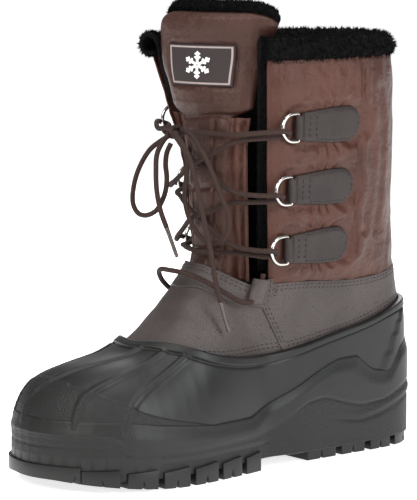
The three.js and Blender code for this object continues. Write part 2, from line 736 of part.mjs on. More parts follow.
add("flap_wadding", tongueLayer([highFoot, tongueTop - 6], padSkins, 0.12, true), materials.wadding);
add("flap_lining", tongueLayer([highFoot, tongueTop + 6], flapFur, 0.08, true), materials.fur);

// Gussets of thin nylon join the tongue's edges to the shaft's front edges.
function gusset(side) {
  const s = side === "lateral" ? 1 : -1;
  const turn = side === "lateral" ? FRONT_LATERAL : FRONT_MEDIAL;
  return wall(
    (u, v, face) => {
      const z = lerp(upward(TONGUE_FOOT + 6), upward(FOLD - 4), v);
      const from = onTongue(s * 0.74, z, 0.6);
      const fold = onTongue(s * 1.0, z, 1.5);
      const edge = onLeg(turn + s * 0.2, z, -4.5);
      const at = u < 0.5 ? from.map((c, i) => lerp(c, fold[i], u * 2)) : fold.map((c, i) => lerp(c, edge[i], u * 2 - 1));
      return [at[0], at[1] + (face ? -0.4 : 0.4), at[2]];
    },
    4,
    6,
  );
}
add("gusset_lateral", gusset("lateral"), materials.tongueNylon);
add("gusset_medial", gusset("medial"), materials.tongueNylon);

// The sewn label on the flap carries a plain six-armed snowflake.
const LABEL_WIDTH = 47;
const LABEL_HEIGHT = 29;
const LABEL_THICK = 1.4;
const LABEL_LIFT = 1.5;
const ARM_THICK = 0.6;
const LABEL_Z = 281;
function onFlap(geometry, proud) {
  const z = upward(LABEL_Z);
  const [x, y] = onTongue(0, z, -proud);
  const [ax, ay] = onTongue(-0.3, z, 0);
  const [bx, by] = onTongue(0.3, z, 0);
  return geometry
    .rotateX(Math.PI / 2)
    .rotateZ(Math.atan2(by - ay, bx - ax))
    .translate(x, y, z);
}
function labelPlate() {
  const [w, h, r] = [LABEL_WIDTH / 2, LABEL_HEIGHT / 2, 1.5];
  const shape = new THREE.Shape();
  shape.moveTo(-w + r, -h).lineTo(w - r, -h).lineTo(w, -h + r).lineTo(w, h - r);
  shape.lineTo(w - r, h).lineTo(-w + r, h).lineTo(-w, h - r).lineTo(-w, -h + r);
  return onFlap(new THREE.ExtrudeGeometry(shape, { depth: LABEL_THICK, bevelEnabled: false }), LABEL_LIFT);
}
function snowflake() {
  const proud = LABEL_LIFT + LABEL_THICK + CLEAR + ARM_THICK;
  const arm = (turn) => {
    const bar = new THREE.BoxGeometry(1.6, 19, ARM_THICK).rotateZ(radians(turn));
    return toSolid(onFlap(bar, proud));
  };
  return fromSolid(arm(0).add(arm(60)).add(arm(120)));
}
add("tongue_label", labelPlate(), materials.label);
add("label_motif", snowflake(), materials.print);

const nylonSeat = toSolid(shaftLayer(-NYLON, CLEAR));

// ---- Ring tabs and D-rings, three on each side ----

const RING_HALF = (RING_WIDTH - RING_WIRE) / 2;
const RING_REACH = RING_DEPTH - RING_WIRE;
const LOOP_BORE = RING_WIRE / 2 + CLEAR;
const LOOP_OUT = LOOP_BORE + TAB_THICK - 0.2;
const CORNER_CLEAR = 1.5;
const BAR_HEIGHT = SEAT + LOOP_OUT;

// A frame at a ring's bar: origin on the nylon, forward along the wall, out from it, and up.
function ringFrame(side, { z, bar }) {
  const s = side === "lateral" ? 1 : -1;
  const height = upward(z);
  const origin = onForm([s * sideways(60), along(bar[side]), height], 0);
  const g = gradient(...origin);
  const size = Math.hypot(g[0], g[1]);
  const out = [g[0] / size, g[1] / size, 0];
  const forward = s > 0 ? [out[1], -out[0], 0] : [-out[1], out[0], 0];
  const at = (f, o, u) => origin.map((v, i) => v + f * forward[i] + o * out[i] + (i === 2 ? u : 0));
  return { s, origin: [origin[0], origin[1], height], out, forward, at };
}

function dRing(frame) {
  const tilt = radians(RING_TILT);
  const at = (f, u) => frame.at(f * Math.cos(tilt), BAR_HEIGHT + f * Math.sin(tilt), u);
  const straight = RING_REACH - RING_HALF;
  const path = [[0, 0], [0, RING_HALF * 0.6]];
  path.push([0.4, RING_HALF * 0.93], [straight * 0.45, RING_HALF]);
  for (let i = 0; i <= 8; i++) {
    const a = (Math.PI * i) / 8;
    path.push([straight + RING_HALF * Math.sin(a), RING_HALF * Math.cos(a)]);
  }
  path.push([straight * 0.45, -RING_HALF], [0.4, -RING_HALF * 0.93], [0, -RING_HALF * 0.6]);
  const curve = new THREE.CatmullRomCurve3(path.map(([f, u]) => new THREE.Vector3(...at(f, u))), true, "centripetal");
  const sides = 6;
  const steps = 22;
  const points = [];
  const faces = [];
  const [here, below] = [frame.at(0, 0, 0), frame.at(Math.sin(tilt), -Math.cos(tilt), 0)];
  const axis = new THREE.Vector3(...here).sub(new THREE.Vector3(...below)).normalize();
  for (let i = 0; i < steps; i++) {
    const p = curve.getPointAt(i / steps);
    const t = curve.getTangentAt(i / steps);
    const n = new THREE.Vector3().crossVectors(t, axis).normalize();
    for (let k = 0; k < sides; k++) {
      const a = (2 * Math.PI * k) / sides;
      const across = n.clone().multiplyScalar((Math.cos(a) * RING_WIRE) / 2);
      points.push(p.clone().add(across).addScaledVector(axis, (Math.sin(a) * RING_WIRE) / 2).toArray());
    }
  }
  for (let i = 0; i < steps; i++)
    for (let k = 0; k < sides; k++) {
      const [a, b] = [i * sides + k, i * sides + ((k + 1) % sides)];
      const [c, d] = [((i + 1) % steps) * sides + ((k + 1) % sides), ((i + 1) % steps) * sides + k];
      faces.push([a, b, c], [a, c, d]);
    }
  return geometryOf(points, faces);
}

// A strap folded round the ring's bar: a flat tail with a round end, and a loop at its front.
function ringTab(frame) {
  const behind = 5.2;
  const reach = TAB_LENGTH - behind - TAB_BACK / 2;
  const tail = wall(
    (u, v, side) => {
      const run = u * (TAB_LENGTH - behind);
      const half = run < reach
        ? lerp(TAB_FRONT, TAB_BACK, Math.min(1, run / (reach * 0.7))) / 2
        : (TAB_BACK / 2) * Math.sqrt(Math.max(0.02, 1 - ((run - reach) / (TAB_BACK / 2)) ** 2));
      const p = frame.at(-behind - run, 0, lerp(-half, half, v));
      return onForm(p, side ? SEAT + TAB_THICK : SEAT);
    },
    14,
    2,
  );
  const loopHalf = RING_HALF - RING_WIRE / 2 - CORNER_CLEAR;
  const shape = new THREE.Shape();
  shape.absarc(0, BAR_HEIGHT, LOOP_OUT, radians(-90), radians(110), false);
  shape.lineTo(-LOOP_OUT - 3.2, SEAT + TAB_THICK * 0.98);
  shape.lineTo(-LOOP_OUT - 3.2, SEAT);
  const hole = new THREE.Path();
  hole.absarc(0, BAR_HEIGHT, LOOP_BORE, 0, 2 * Math.PI, true);
  shape.holes.push(hole);
  const loop = new THREE.ExtrudeGeometry(shape, { depth: 2 * loopHalf, bevelEnabled: false, curveSegments: 6 });
  const basis = new THREE.Matrix4().makeBasis(
    new THREE.Vector3(...frame.forward),
    new THREE.Vector3(...frame.out),
    new THREE.Vector3(...frame.forward).cross(new THREE.Vector3(...frame.out)),
  );
  loop.translate(0, 0, -loopHalf).applyMatrix4(basis).translate(...frame.origin);
  return fromSolid(toSolid(loop).add(toSolid(tail)).subtract(nylonSeat));
}

const frames = {};
for (const side of ["lateral", "medial"])
  for (const ring of rings) {
    const frame = ringFrame(side, ring);
    frames[side + ring.level] = frame;
    add(`ring_tab_${side}_${ring.level}`, ringTab(frame), materials.leather);
    add(`d_ring_${side}_${ring.level}`, dRing(frame), materials.nickel);
  }

// One turn of lace: from the middle of the tongue round a ring and back to the middle, higher up.
const crossings = { low: { 1: 212, 2: 175, 3: 151 }, high: { 1: 234, 2: 212, 3: 175 } };
const passHeight = { 1: 235, 2: 190.5, 3: 151.5 };
const LACE_PROUD = LACE / 2 + 1;
const KNOT = { at: place([-12.5, -25, 234.5]), size: [6.5, 5.5, 6.5] };
function laceTurn(side, level) {
  const frame = frames[side + level];
  const tilt = radians(RING_TILT);
  const loop = LACE / 2 + RING_WIRE / 2 + 1.2;
  const drop = passHeight[level] - rings[level - 1].z;
  const tip = Math.sqrt(RING_HALF ** 2 - drop ** 2) + RING_REACH - RING_HALF;
  const at = (f, o, u) =>
    frame.at(f * Math.cos(tilt) - o * Math.sin(tilt), BAR_HEIGHT + f * Math.sin(tilt) + o * Math.cos(tilt), u);
  const over = side === "lateral" ? 0 : LACE + 0.5;
  const under = side === "lateral" ? LACE + 0.5 : 0;
  const onFace = (u, z, lift) => onTongue(frame.s * u, upward(z), -(LACE_PROUD + lift));
  const front = side === "lateral" ? FRONT_LATERAL : FRONT_MEDIAL;
  const pastEdge = (z, lift) => onLeg(front + frame.s * (FRONT_LAP + 0.09), upward(z), LACE / 2 + lift);
  const [low, high] = [crossings.low[level], crossings.high[level]];
  const between = (z, share) => lerp(z, passHeight[level], share);
  const toKnot = side === "lateral" ? [-0.13, 3.6] : [0.56, 3.6];
  const points = [
    onFace(0.01, low, under),
    onFace(0.2, between(low, 0.15), under * 0.9),
    onFace(0.55, between(low, 0.45), under * 0.2 + 0.6),
    onFace(0.88, between(low, 0.75), 2.2),
    pastEdge(between(low, 0.9) - 1, 0.6),
    at(tip + 2.2, -loop * 0.97, drop - 2.2),
    at(tip - 1.4, -loop * 0.93, drop - 1.5),
    at(tip - loop, 0, drop),
    at(tip - 1.4, loop * 0.93, drop + 1.5),
    at(tip + 2.2, loop * 0.97, drop + 2.4),
    pastEdge(between(high, 0.9) + 1, 5.2),
    onFace(0.88, between(high, 0.75), 6.4),
    onFace(0.55, between(high, 0.45), over * 0.2 + 2.6),
    ...(level === 1
      ? [onFace(toKnot[0], high, toKnot[1])]
      : [onFace(0.2, between(high, 0.15), over * 0.9), onFace(0.01, high, over)]),
  ];
  return rod(points, LACE, 28);
}
for (const side of ["lateral", "medial"])
  for (const { level } of rings) {
    add(`lace_turn_${side}_${level}`, laceTurn(side, level), materials.lace);
  }

// The bow: a knot, two loops and two loose ends with hard tips.
const knot = new THREE.IcosahedronGeometry(1, 1);
add("lace_knot", knot.scale(...KNOT.size).translate(...KNOT.at), materials.lace);
const bowMedial = [
  [-19.5, -28, 231], [-24.3, -32, 227], [-30.6, -36, 221], [-37, -40, 209], [-41.4, -42, 195.5], [-42.6, -42, 182.5],
  [-36.8, -42, 176], [-28.9, -41, 175], [-20, -39, 179], [-14.6, -38, 186], [-11.5, -37, 194], [-11.5, -36, 203],
  [-14.1, -35, 212], [-14.5, -33.5, 220], [-13, -31, 226.5],
];
const bowLateral = [
  [-5.2, -27, 236], [1, -29, 235.5], [8, -29, 233], [14.3, -28.5, 227], [21.9, -28, 218.6], [27.9, -27, 208.6],
  [34.9, -26, 195.3], [42.6, -25, 181.5], [43.7, -25, 173.2], [40.4, -25, 166], [32.8, -25, 161], [24, -25.5, 159.4],
  [16.4, -26.5, 161.6], [8.7, -28, 168.6], [3.3, -29.5, 179.4], [2.3, -31, 191.3], [5.5, -32, 205.1], [6.5, -32.5, 216.5],
  [2, -32, 225], [-5, -30.2, 230.2],
];
const endLateral = [
  [-6.5, -32, 234.5], [0, -36, 232.5], [8, -38, 228.5], [15, -38, 221], [20, -37, 208], [24, -35.5, 193], [28, -34, 175],
  [32, -32.5, 158], [35.5, -32.3, 144], [38.7, -32.6, 134], [41, -32.4, 127], [41.8, -31, 121],
];
const endMedial = [
  [-15, -32.2, 232], [-15.5, -37, 227], [-15, -42, 219], [-13.5, -44, 208], [-11.5, -45, 195], [-8, -44.5, 181],
  [-3, -43, 169],
];
const tipOf = (points, length) => {
  const [a, b] = points.slice(-2).map((p) => new THREE.Vector3(...p));
  const way = b.clone().sub(a).normalize();
  return [b.clone().addScaledVector(way, CLEAR), b.clone().addScaledVector(way, CLEAR + length)].map((v) => v.toArray());
};
for (const [name, points, steps] of [
  ["bow_loop_medial", bowMedial, 24],
  ["bow_loop_lateral", bowLateral, 30],
  ["lace_end_lateral", endLateral, 22],
  ["lace_end_medial", endMedial, 12],
]) {
  const route = points.map(place);
  add(name, rod(route, LACE, steps), materials.lace);
  if (name.startsWith("lace_end")) {
    const aglet = rod(tipOf(route, AGLET_LENGTH), AGLET, 2);
    add(name.replace("lace_end", "aglet"), aglet, materials.tip);
  }
}

// The origin goes under the middle of the boot, whatever its loose lace does.
const loose = /^(lace_knot|bow_loop|lace_end|aglet)/;
const body = new THREE.Box3();
for (const mesh of boot.children) if (!loose.test(mesh.name)) body.expandByObject(mesh);
boot.position.set(-(body.min.x + body.max.x) / 2, -(body.min.y + body.max.y) / 2, -body.min.z);

export default boot;
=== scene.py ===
"""An insulated left boot, dressed in rubber, leather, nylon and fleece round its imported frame."""

import math

import bmesh
import bpy
import numpy as np
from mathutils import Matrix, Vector, noise


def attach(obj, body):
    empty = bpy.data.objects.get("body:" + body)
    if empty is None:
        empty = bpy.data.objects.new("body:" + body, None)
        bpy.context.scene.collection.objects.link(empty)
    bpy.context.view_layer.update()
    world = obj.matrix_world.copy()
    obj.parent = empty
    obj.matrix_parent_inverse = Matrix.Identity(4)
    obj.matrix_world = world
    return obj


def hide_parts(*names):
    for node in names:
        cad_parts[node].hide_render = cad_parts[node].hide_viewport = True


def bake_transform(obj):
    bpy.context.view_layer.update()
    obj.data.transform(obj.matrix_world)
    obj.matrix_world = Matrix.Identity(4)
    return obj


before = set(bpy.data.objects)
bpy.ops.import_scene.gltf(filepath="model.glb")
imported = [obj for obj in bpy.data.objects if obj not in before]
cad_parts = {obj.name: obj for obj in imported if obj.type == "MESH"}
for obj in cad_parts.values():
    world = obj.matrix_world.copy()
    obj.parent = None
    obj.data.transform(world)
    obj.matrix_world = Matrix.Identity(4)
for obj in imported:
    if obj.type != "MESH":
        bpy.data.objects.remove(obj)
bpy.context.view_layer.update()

MM = 0.001
# Listed points are in millimetres from the middle of the last, which stands here in the frame.
LAST_AT = np.array([1.054, -0.898, 0.0])


def framed(points):
    """Points of the last, in millimetres, as points of the frame, in metres."""
    return (np.asarray(points, float) + LAST_AT) * MM


# ---- Studio: a pale floor, soft light from large panels, and the camera ----

scene = bpy.context.scene
scene.view_settings.view_transform = "Standard"
CAMERA_TURN = math.radians(51.08)
CAMERA_AWAY = 2048.5
CAMERA_HIGH = 424.1
AIM_SIDE = -6.1
AIM_HIGH = 149.95
aim = np.array([math.cos(CAMERA_TURN) * AIM_SIDE, math.sin(CAMERA_TURN) * AIM_SIDE, AIM_HIGH])
stand = [
    aim[0] + CAMERA_AWAY * math.sin(CAMERA_TURN),
    aim[1] - CAMERA_AWAY * math.cos(CAMERA_TURN),
    CAMERA_HIGH,
]
bpy.ops.object.camera_add(location=Vector(framed(stand)))
camera = bpy.context.object
camera.name = "studio_camera"
camera.data.sensor_fit = "AUTO"
camera.data.sensor_width = 36
camera.data.lens = 210.9
camera.data.clip_start = 0.01
look = Vector(framed(aim)) - camera.location
camera.rotation_euler = look.to_track_quat("-Z", "Y").to_euler()
scene.camera = camera

world = bpy.data.worlds.new("studio_air")
world.use_nodes = True
world.node_tree.nodes["Background"].inputs["Color"].default_value = (1.0, 1.0, 1.0, 1)
scene.world = world


def panel_light(name, place, power, width, height, tint):
    """A soft box that faces the middle of the boot."""
    bpy.ops.object.light_add(type="AREA", location=place)
    light = bpy.context.object
    light.name = name
    light.data.shape = "RECTANGLE"
    light.data.size = width
    light.data.size_y = height
    light.data.energy = power
    light.data.color = tint
    way = Vector((0, 0, 0.14)) - light.location
    light.rotation_euler = way.to_track_quat("-Z", "Y").to_euler()


panel_light("key_panel", (0.35, -1.35, 1.25), 24, 0.9, 0.9, (1.0, 0.985, 0.96))
panel_light("side_panel", (1.35, 0.25, 0.75), 16, 0.5, 1.2, (0.97, 0.98, 1.0))
panel_light("back_panel", (-0.9, 1.1, 1.0), 12, 0.9, 0.7, (1.0, 1.0, 1.0))
panel_light("top_panel", (0.1, 0.0, 1.6), 10, 1.1, 1.1, (1.0, 1.0, 1.0))

bpy.ops.mesh.primitive_plane_add(size=30, location=(0, 0, -0.0004))
floor = bpy.context.object
floor.name = "studio_floor"


# ---- Making meshes and materials: what every piece below uses ----


def new_material(name, colour, roughness, metallic=0.0, **sockets):
    """A node material with one Principled shader; sockets sets plain values on it."""
    made = bpy.data.materials.new(name)
    made.use_nodes = True
    shader = made.node_tree.nodes["Principled BSDF"]
    shader.inputs["Base Color"].default_value = (*colour, 1)
    shader.inputs["Roughness"].default_value = roughness
    shader.inputs["Metallic"].default_value = metallic
    for socket, value in sockets.items():
        shader.inputs[socket.replace("_", " ")].default_value = value
    return made


def node(tree, kind, settings=None, **links):
    """Adds a node; links gives its inputs a value or another node's socket."""
    made = tree.nodes.new(kind)
    for key, value in (settings or {}).items():
        setattr(made, key, value)
    for key, value in links.items():
        socket = made.inputs[int(key[1:])] if key[0] == "_" else made.inputs[key.replace("_", " ")]
        if isinstance(value, bpy.types.NodeSocket):
            tree.links.new(value, socket)
        else:
            socket.default_value = value
    return made


def mixed(tree, share, low, high):
    """A colour between two colours."""
    made = node(tree, "ShaderNodeMix", {"data_type": "RGBA"}, _0=share)
    for at, value in ((6, low), (7, high)):
        if isinstance(value, bpy.types.NodeSocket):
            tree.links.new(value, made.inputs[at])
        else:
            made.inputs[at].default_value = (*value, 1)
    return made.outputs[2]


def ramp(tree, value, low, high):
    """Carries a value from low..high to 0..1 smoothly."""
    made = node(tree, "ShaderNodeMapRange", {"interpolation_type": "SMOOTHSTEP"}, Value=value, From_Min=low,
        From_Max=high)
    return made.outputs["Result"]


def sums(tree, operation, a, b):
    return node(tree, "ShaderNodeMath", {"operation": operation}, _0=a, _1=b).outputs[0]


def new_group(name, inputs, outputs):
    """A shader node group with named sockets; inputs and outputs list (name, kind, value)."""
    group = bpy.data.node_groups.new(name, "ShaderNodeTree")
    for label, kind, value in inputs:
        socket = group.interface.new_socket(name=label, in_out="INPUT", socket_type=kind)
        if value is not None:
            socket.default_value = value
    for label, kind in outputs:
        group.interface.new_socket(name=label, in_out="OUTPUT", socket_type=kind)
    return group, group.nodes.new("NodeGroupInput"), group.nodes.new("NodeGroupOutput")


def place_group(tree, group, **links):
    made = tree.nodes.new("ShaderNodeGroup")
    made.node_tree = group
    for key, value in links.items():
        socket = made.inputs[key.replace("_", " ")]
        if isinstance(value, bpy.types.NodeSocket):
            tree.links.new(value, socket)
        else:
            socket.default_value = value
    return made


def object_place(tree):
    return node(tree, "ShaderNodeTexCoord").outputs["Object"]


# Soft unevenness: a value that clouds over a surface, with a finer one on top, and a height for both.
clouds, clouds_in, clouds_out = new_group(
    "clouded_surface",
    [("Place", "NodeSocketVector", None), ("Size", "NodeSocketFloat", 60.0),
    ("Fine", "NodeSocketFloat", 900.0)],
    [("Patch", "NodeSocketFloat"), ("Speckle", "NodeSocketFloat")],
)
patch = node(clouds, "ShaderNodeTexNoise", None, Vector=clouds_in.outputs[0], Scale=clouds_in.outputs[1],
    Detail=3.0)
speckle = node(clouds, "ShaderNodeTexNoise", None, Vector=clouds_in.outputs[0], Scale=clouds_in.outputs[2],
    Detail=2.0)
clouds.links.new(patch.outputs["Fac"], clouds_out.inputs[0])
clouds.links.new(speckle.outputs["Fac"], clouds_out.inputs[1])

# Plain weave on a UV map in millimetres: warp and weft threads that cross over and under.
weave, weave_in, weave_out = new_group(
    "plain_weave",
    [("Threads", "NodeSocketFloat", 3.0)],
    [("Height", "NodeSocketFloat")],
)
weave_uv = node(weave, "ShaderNodeUVMap")
weave_at = node(weave, "ShaderNodeSeparateXYZ", None, Vector=weave_uv.outputs[0])
waves = []
for axis in (0, 1):
    turn = sums(weave, "MULTIPLY", weave_at.outputs[axis], weave_in.outputs[0])
    turn = sums(weave, "MULTIPLY", turn, math.pi)
    waves.append(node(weave, "ShaderNodeMath", {"operation": "SINE"}, _0=turn).outputs[0])
crossing = sums(weave, "MULTIPLY", waves[0], waves[1])
weave.links.new(sums(weave, "MULTIPLY_ADD", crossing, 0.5), weave_out.inputs[0])


def bumped(tree, height, strength, depth):
    """Joins a height to the shader's normal; depth is in metres."""
    bump = node(tree, "ShaderNodeBump", None, Height=height, Strength=strength, Distance=depth)
    tree.links.new(bump.outputs[0], tree.nodes["Principled BSDF"].inputs["Normal"])


def feed(tree, value, socket):
    tree.links.new(value, tree.nodes["Principled BSDF"].inputs[socket])


def build(name, points, faces, material, body="boot", uv=None, marks=None, replaced=(), sharp=None):
    """A piece from points of the last in millimetres: smooth shaded, riding on a body of the frame."""
    name = "fine_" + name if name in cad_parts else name
    mesh = bpy.data.meshes.new(name)
    mesh.from_pydata(framed(points).tolist(), [], [list(f) for f in faces])
    if uv is not None:
        layer = mesh.uv_layers.new(name="UVMap")
        corners = np.empty(len(mesh.loops), int)
        mesh.loops.foreach_get("vertex_index", corners)
        layer.data.foreach_set("uv", np.asarray(uv, float)[corners].ravel())
    for key, values in (marks or {}).items():
        mesh.attributes.new(key, "FLOAT", "POINT").data.foreach_set("value", np.asarray(values, float))
    mesh.validate()
    form = bmesh.new()
    form.from_mesh(mesh)
    bmesh.ops.recalc_face_normals(form, faces=form.faces)
    if form.calc_volume(signed=True) < 0:
        bmesh.ops.reverse_faces(form, faces=form.faces)
    form.to_mesh(mesh)
    form.free()
    for face in mesh.polygons:
        face.use_smooth = True
    if sharp is not None:
        mesh.set_sharp_from_angle(angle=math.radians(sharp))
    piece = bpy.data.objects.new(name, mesh)
    scene.collection.objects.link(piece)
    mesh.materials.append(material)
    if body:
        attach(piece, body)
    if replaced:
        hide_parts(*replaced)
    return piece


def smooth_keys(keys):
    """A function that runs smoothly through (at, value) keys without overshooting them."""
    xs, ys = np.array(keys, float).T
    slope = np.diff(ys) / np.diff(xs)
    tangent = np.empty(len(xs))
    tangent[0], tangent[-1] = slope[0], slope[-1]
    a, b = slope[:-1], slope[1:]
    flat = a * b <= 0
    tangent[1:-1] = np.where(flat, 0, 2 * a * b / np.where(flat, 1, a + b))

    def at(x):
        x = np.clip(np.asarray(x, float), xs[0], xs[-1])
        i = np.clip(np.searchsorted(xs, x, side="right") - 1, 0, len(xs) - 2)
        h = xs[i + 1] - xs[i]
        t = (x - xs[i]) / h
        return (
            (2 * t**3 - 3 * t * t + 1) * ys[i]
            + (t**3 - 2 * t * t + t) * h * tangent[i]
            + (3 * t * t - 2 * t**3) * ys[i + 1]
            + (t**3 - t * t) * h * tangent[i + 1]
        )

    return at


def smooth_step(value, low, high):
    t = np.clip((np.asarray(value, float) - low) / (high - low), 0, 1)
    return t * t * (3 - 2 * t)


def even_spline(points, steps, closed=False):
    """A smooth curve through points, with the same number of steps between each two."""
    points = np.asarray(points, float)
    count = len(points)
    out = []
    for i in range(count if closed else count - 1):
        near = [(i + k) % count if closed else min(max(i + k, 0), count - 1) for k in (-1, 0, 1, 2)]
        a, b, c, d = points[near]
        for t in np.arange(steps) / steps:
            out.append(0.5 * (2 * b + (c - a) * t + (2 * a - 5 * b + 4 * c - d) * t**2
                + (3 * b - a - 3 * c + d) * t**3))
    if not closed:
        out.append(points[-1])
    return np.array(out)


def along_line(points, shares):
    """Points of a polyline at shares of its length."""
    run = np.concatenate([[0], np.cumsum(np.linalg.norm(np.diff(points, axis=0), axis=1))])
    at = np.clip(shares, 0, 1) * run[-1]
    return np.stack([np.interp(at, run, points[:, k]) for k in range(points.shape[1])], axis=-1)


def lace_path(points, spacing=1.2):
    """The smooth line of a lace through given points, as a centripetal curve with even steps."""
    points = np.asarray(points, float)
    points = np.vstack([2 * points[0] - points[1], points, 2 * points[-1] - points[-2]])
    line = []
    for i in range(1, len(points) - 2):
        p = points[i - 1 : i + 3]
        t = np.concatenate([[0], np.cumsum(np.sqrt(np.linalg.norm(np.diff(p, axis=0), axis=1)) + 1e-9)])
        for at in np.linspace(t[1], t[2], 12, endpoint=False):
            a = [(p[k] * (t[k + 1] - at) + p[k + 1] * (at - t[k])) / (t[k + 1] - t[k]) for k in range(3)]
            b = [(a[k] * (t[k + 2] - at) + a[k + 1] * (at - t[k])) / (t[k + 2] - t[k]) for k in range(2)]
            line.append((b[0] * (t[2] - at) + b[1] * (at - t[1])) / (t[2] - t[1]))
    line = np.array(line + [points[-2]])
    length = np.linalg.norm(np.diff(line, axis=0), axis=1).sum()
    return along_line(line, np.linspace(0, 1, max(4, int(length / spacing) + 1)))


def tube(path, radius, sides=12):
    """Points, faces and UV of a closed round tube along a path; radius may change along it."""
    path = np.asarray(path, float)
    count = len(path)
    radius = np.broadcast_to(radius, count)
    tangents = np.gradient(path, axis=0)
    tangents /= np.linalg.norm(tangents, axis=1)[:, None]
    side = np.cross(tangents[0], [0, 0, 1.0])
    if np.linalg.norm(side) < 0.1:
        side = np.cross(tangents[0], [1.0, 0, 0])
    rings = []
    run = np.concatenate([[0], np.cumsum(np.linalg.norm(np.diff(path, axis=0), axis=1))])
    turn = 2 * math.pi * np.arange(sides) / sides
    for i in range(count):
        side = side - tangents[i] * (side @ tangents[i])
        side /= np.linalg.norm(side)
        up = np.cross(tangents[i], side)
        rings.append(path[i] + radius[i] * (np.outer(np.cos(turn), side) + np.outer(np.sin(turn), up)))
    points = np.vstack(rings + [path[:1], path[-1:]])
    faces = []
    for i in range(count - 1):
        for k in range(sides):
            a, b = i * sides + k, i * sides + (k + 1) % sides
            faces.append((a, b, b + sides, a + sides))
    for k in range(sides):
        after = (k + 1) % sides
        faces.append((count * sides, after, k))
        faces.append((count * sides + 1, (count - 1) * sides + k, (count - 1) * sides + after))
    uv = np.array([(k / sides, run[i]) for i in range(count) for k in range(sides)] + [(0, 0),
        (0, run[-1])])
    return points, faces, uv


def joined(shapes):
    """Several (points, faces, uv) as one."""
    points, faces, uvs, start = [], [], [], 0
    for p, f, uv in shapes:
        points.append(p)
        faces += [tuple(k + start for k in face) for face in f]
        uvs.append(np.zeros((len(p), 2)) if uv is None else uv)
        start += len(p)
    return np.vstack(points), faces, np.vstack(uvs)


# The floor glows a little, and the air behind it is white to look at but dim as a light.
floor.data.materials.append(
    new_material("studio_floor", (0.9, 0.9, 0.9), 1.0, Emission_Color=(1, 1, 1, 1), Emission_Strength=0.76,
                 Specular_IOR_Level=0.0)
)
AIR_LIGHT = 0.3
seen = node(world.node_tree, "ShaderNodeLightPath").outputs["Is Camera Ray"]
brightness = node(world.node_tree, "ShaderNodeMapRange", None, Value=seen, To_Min=AIR_LIGHT, To_Max=1.05)
world.node_tree.links.new(brightness.outputs["Result"],
    world.node_tree.nodes["Background"].inputs["Strength"])


# ---- The free lace: a round braid tied in a bow over the tongue, two loops and two loose ends ----

LACE = 3.6
lace_material = new_material("lace_braid", (0.06, 0.036, 0.03), 0.8, Specular_IOR_Level=0.25)
tree = lace_material.node_tree
# Braid: two sets of strands that run round the lace both ways, with a lighter tracer in one of them.
braid_uv = node(tree, "ShaderNodeSeparateXYZ", None, Vector=node(tree, "ShaderNodeUVMap").outputs[0])
strands = []
for hand in (1, -1):
    run = sums(tree, "MULTIPLY", braid_uv.outputs[1], 2 * math.pi / 5.2)
    round_ = sums(tree, "MULTIPLY", braid_uv.outputs[0], hand * 2 * math.pi * 4)
    strands.append(node(tree, "ShaderNodeMath", {"operation": "SINE"},
        _0=sums(tree, "ADD", sums(tree, "MULTIPLY", run, 3.0), round_)).outputs[0])
braid = sums(tree, "MAXIMUM", strands[0], strands[1])
tracer = ramp(tree, sums(tree, "MULTIPLY", strands[0], strands[1]), 0.35, 0.85)
fuzz = node(tree, "ShaderNodeTexNoise", None, Vector=object_place(tree), Scale=1800.0, Detail=2.0)
# Painted shade: the colour darkens between the strands, where the braid's bump sinks; the tracer and fuzz
# are the lace's own colour.
base = mixed(tree, ramp(tree, braid, -0.4, 0.9), (0.010, 0.005, 0.0042), (0.036, 0.018, 0.015))
base = mixed(tree, sums(tree, "MULTIPLY", tracer, 0.42), base, (0.17, 0.11, 0.09))
feed(tree, mixed(tree, ramp(tree, fuzz.outputs["Fac"], 0.45, 0.75), base, (0.042, 0.023, 0.019)),
    "Base Color")
bumped(tree, sums(tree, "ADD", braid, sums(tree, "MULTIPLY", fuzz.outputs["Fac"], 0.5)), 0.7, 0.0005)

bow_lines = {
    "bow_loop_medial": [
        (-19.5, -28, 231), (-24.3, -32, 227), (-30.6, -36, 221), (-37, -40, 209), (-41.4, -42, 195.5),
        (-42.6, -42, 182.5), (-36.8, -42, 176), (-28.9, -41, 175), (-20, -39, 179), (-14.6, -38, 186),
        (-11.5, -37, 194), (-11.5, -36, 203), (-14.1, -35, 212), (-14.5, -33.5, 220), (-13, -31, 226.5),
    ],
    "bow_loop_lateral": [
        (-5.2, -27, 236), (1, -29, 235.5), (8, -29, 233), (14.3, -28.5, 227), (21.9, -28, 218.6),
        (27.9, -27, 208.6), (34.9, -26, 195.3), (42.6, -25, 181.5), (43.7, -25, 173.2), (40.4, -25, 166),
        (32.8, -25, 161), (24, -25.5, 159.4), (16.4, -26.5, 161.6), (8.7, -28, 168.6), (3.3, -29.5, 179.4),
        (2.3, -31, 191.3), (5.5, -32, 205.1), (6.5, -32.5, 216.5), (2, -32, 225), (-5, -30.2, 230.2),
    ],
    "lace_end_lateral": [
        (-6.5, -32, 234.5), (0, -36, 232.5), (8, -38, 228.5), (15, -38, 221), (20, -37, 208),
        (24, -35.5, 193),
        (28, -34, 175), (32, -32.5, 158), (35.5, -32.3, 144), (38.7, -32.6, 134), (41, -32.4, 127),
        (41.8, -31, 121),
    ],
    "lace_end_medial": [
        (-15, -32.2, 232), (-15.5, -37, 227), (-15, -42, 219), (-13.5, -44, 208), (-11.5, -45, 195),
        (-8, -44.5, 181), (-3, -43, 169),
    ],
}
CLEAR = 0.3
tip_material = new_material("lace_tip_film", (0.03, 0.019, 0.016), 0.22, Coat_Weight=0.6,
    Coat_Roughness=0.08)
tree = tip_material.node_tree
tip_uv = node(tree, "ShaderNodeSeparateXYZ", None, Vector=node(tree, "ShaderNodeUVMap").outputs[0])
wrap = node(tree, "ShaderNodeMath", {"operation": "SINE"},
    _0=sums(tree, "MULTIPLY", tip_uv.outputs[1], 5.0)).outputs[0]
# Painted light: the colour is lighter on the crest of each turn of the film and darker in the grooves
# between, following its bump.
feed(tree, mixed(tree, ramp(tree, wrap, 0.2, 1.0), (0.02, 0.013, 0.011), (0.085, 0.058, 0.05)),
    "Base Color")
bumped(tree, wrap, 0.25, 0.0002)
cords = {}
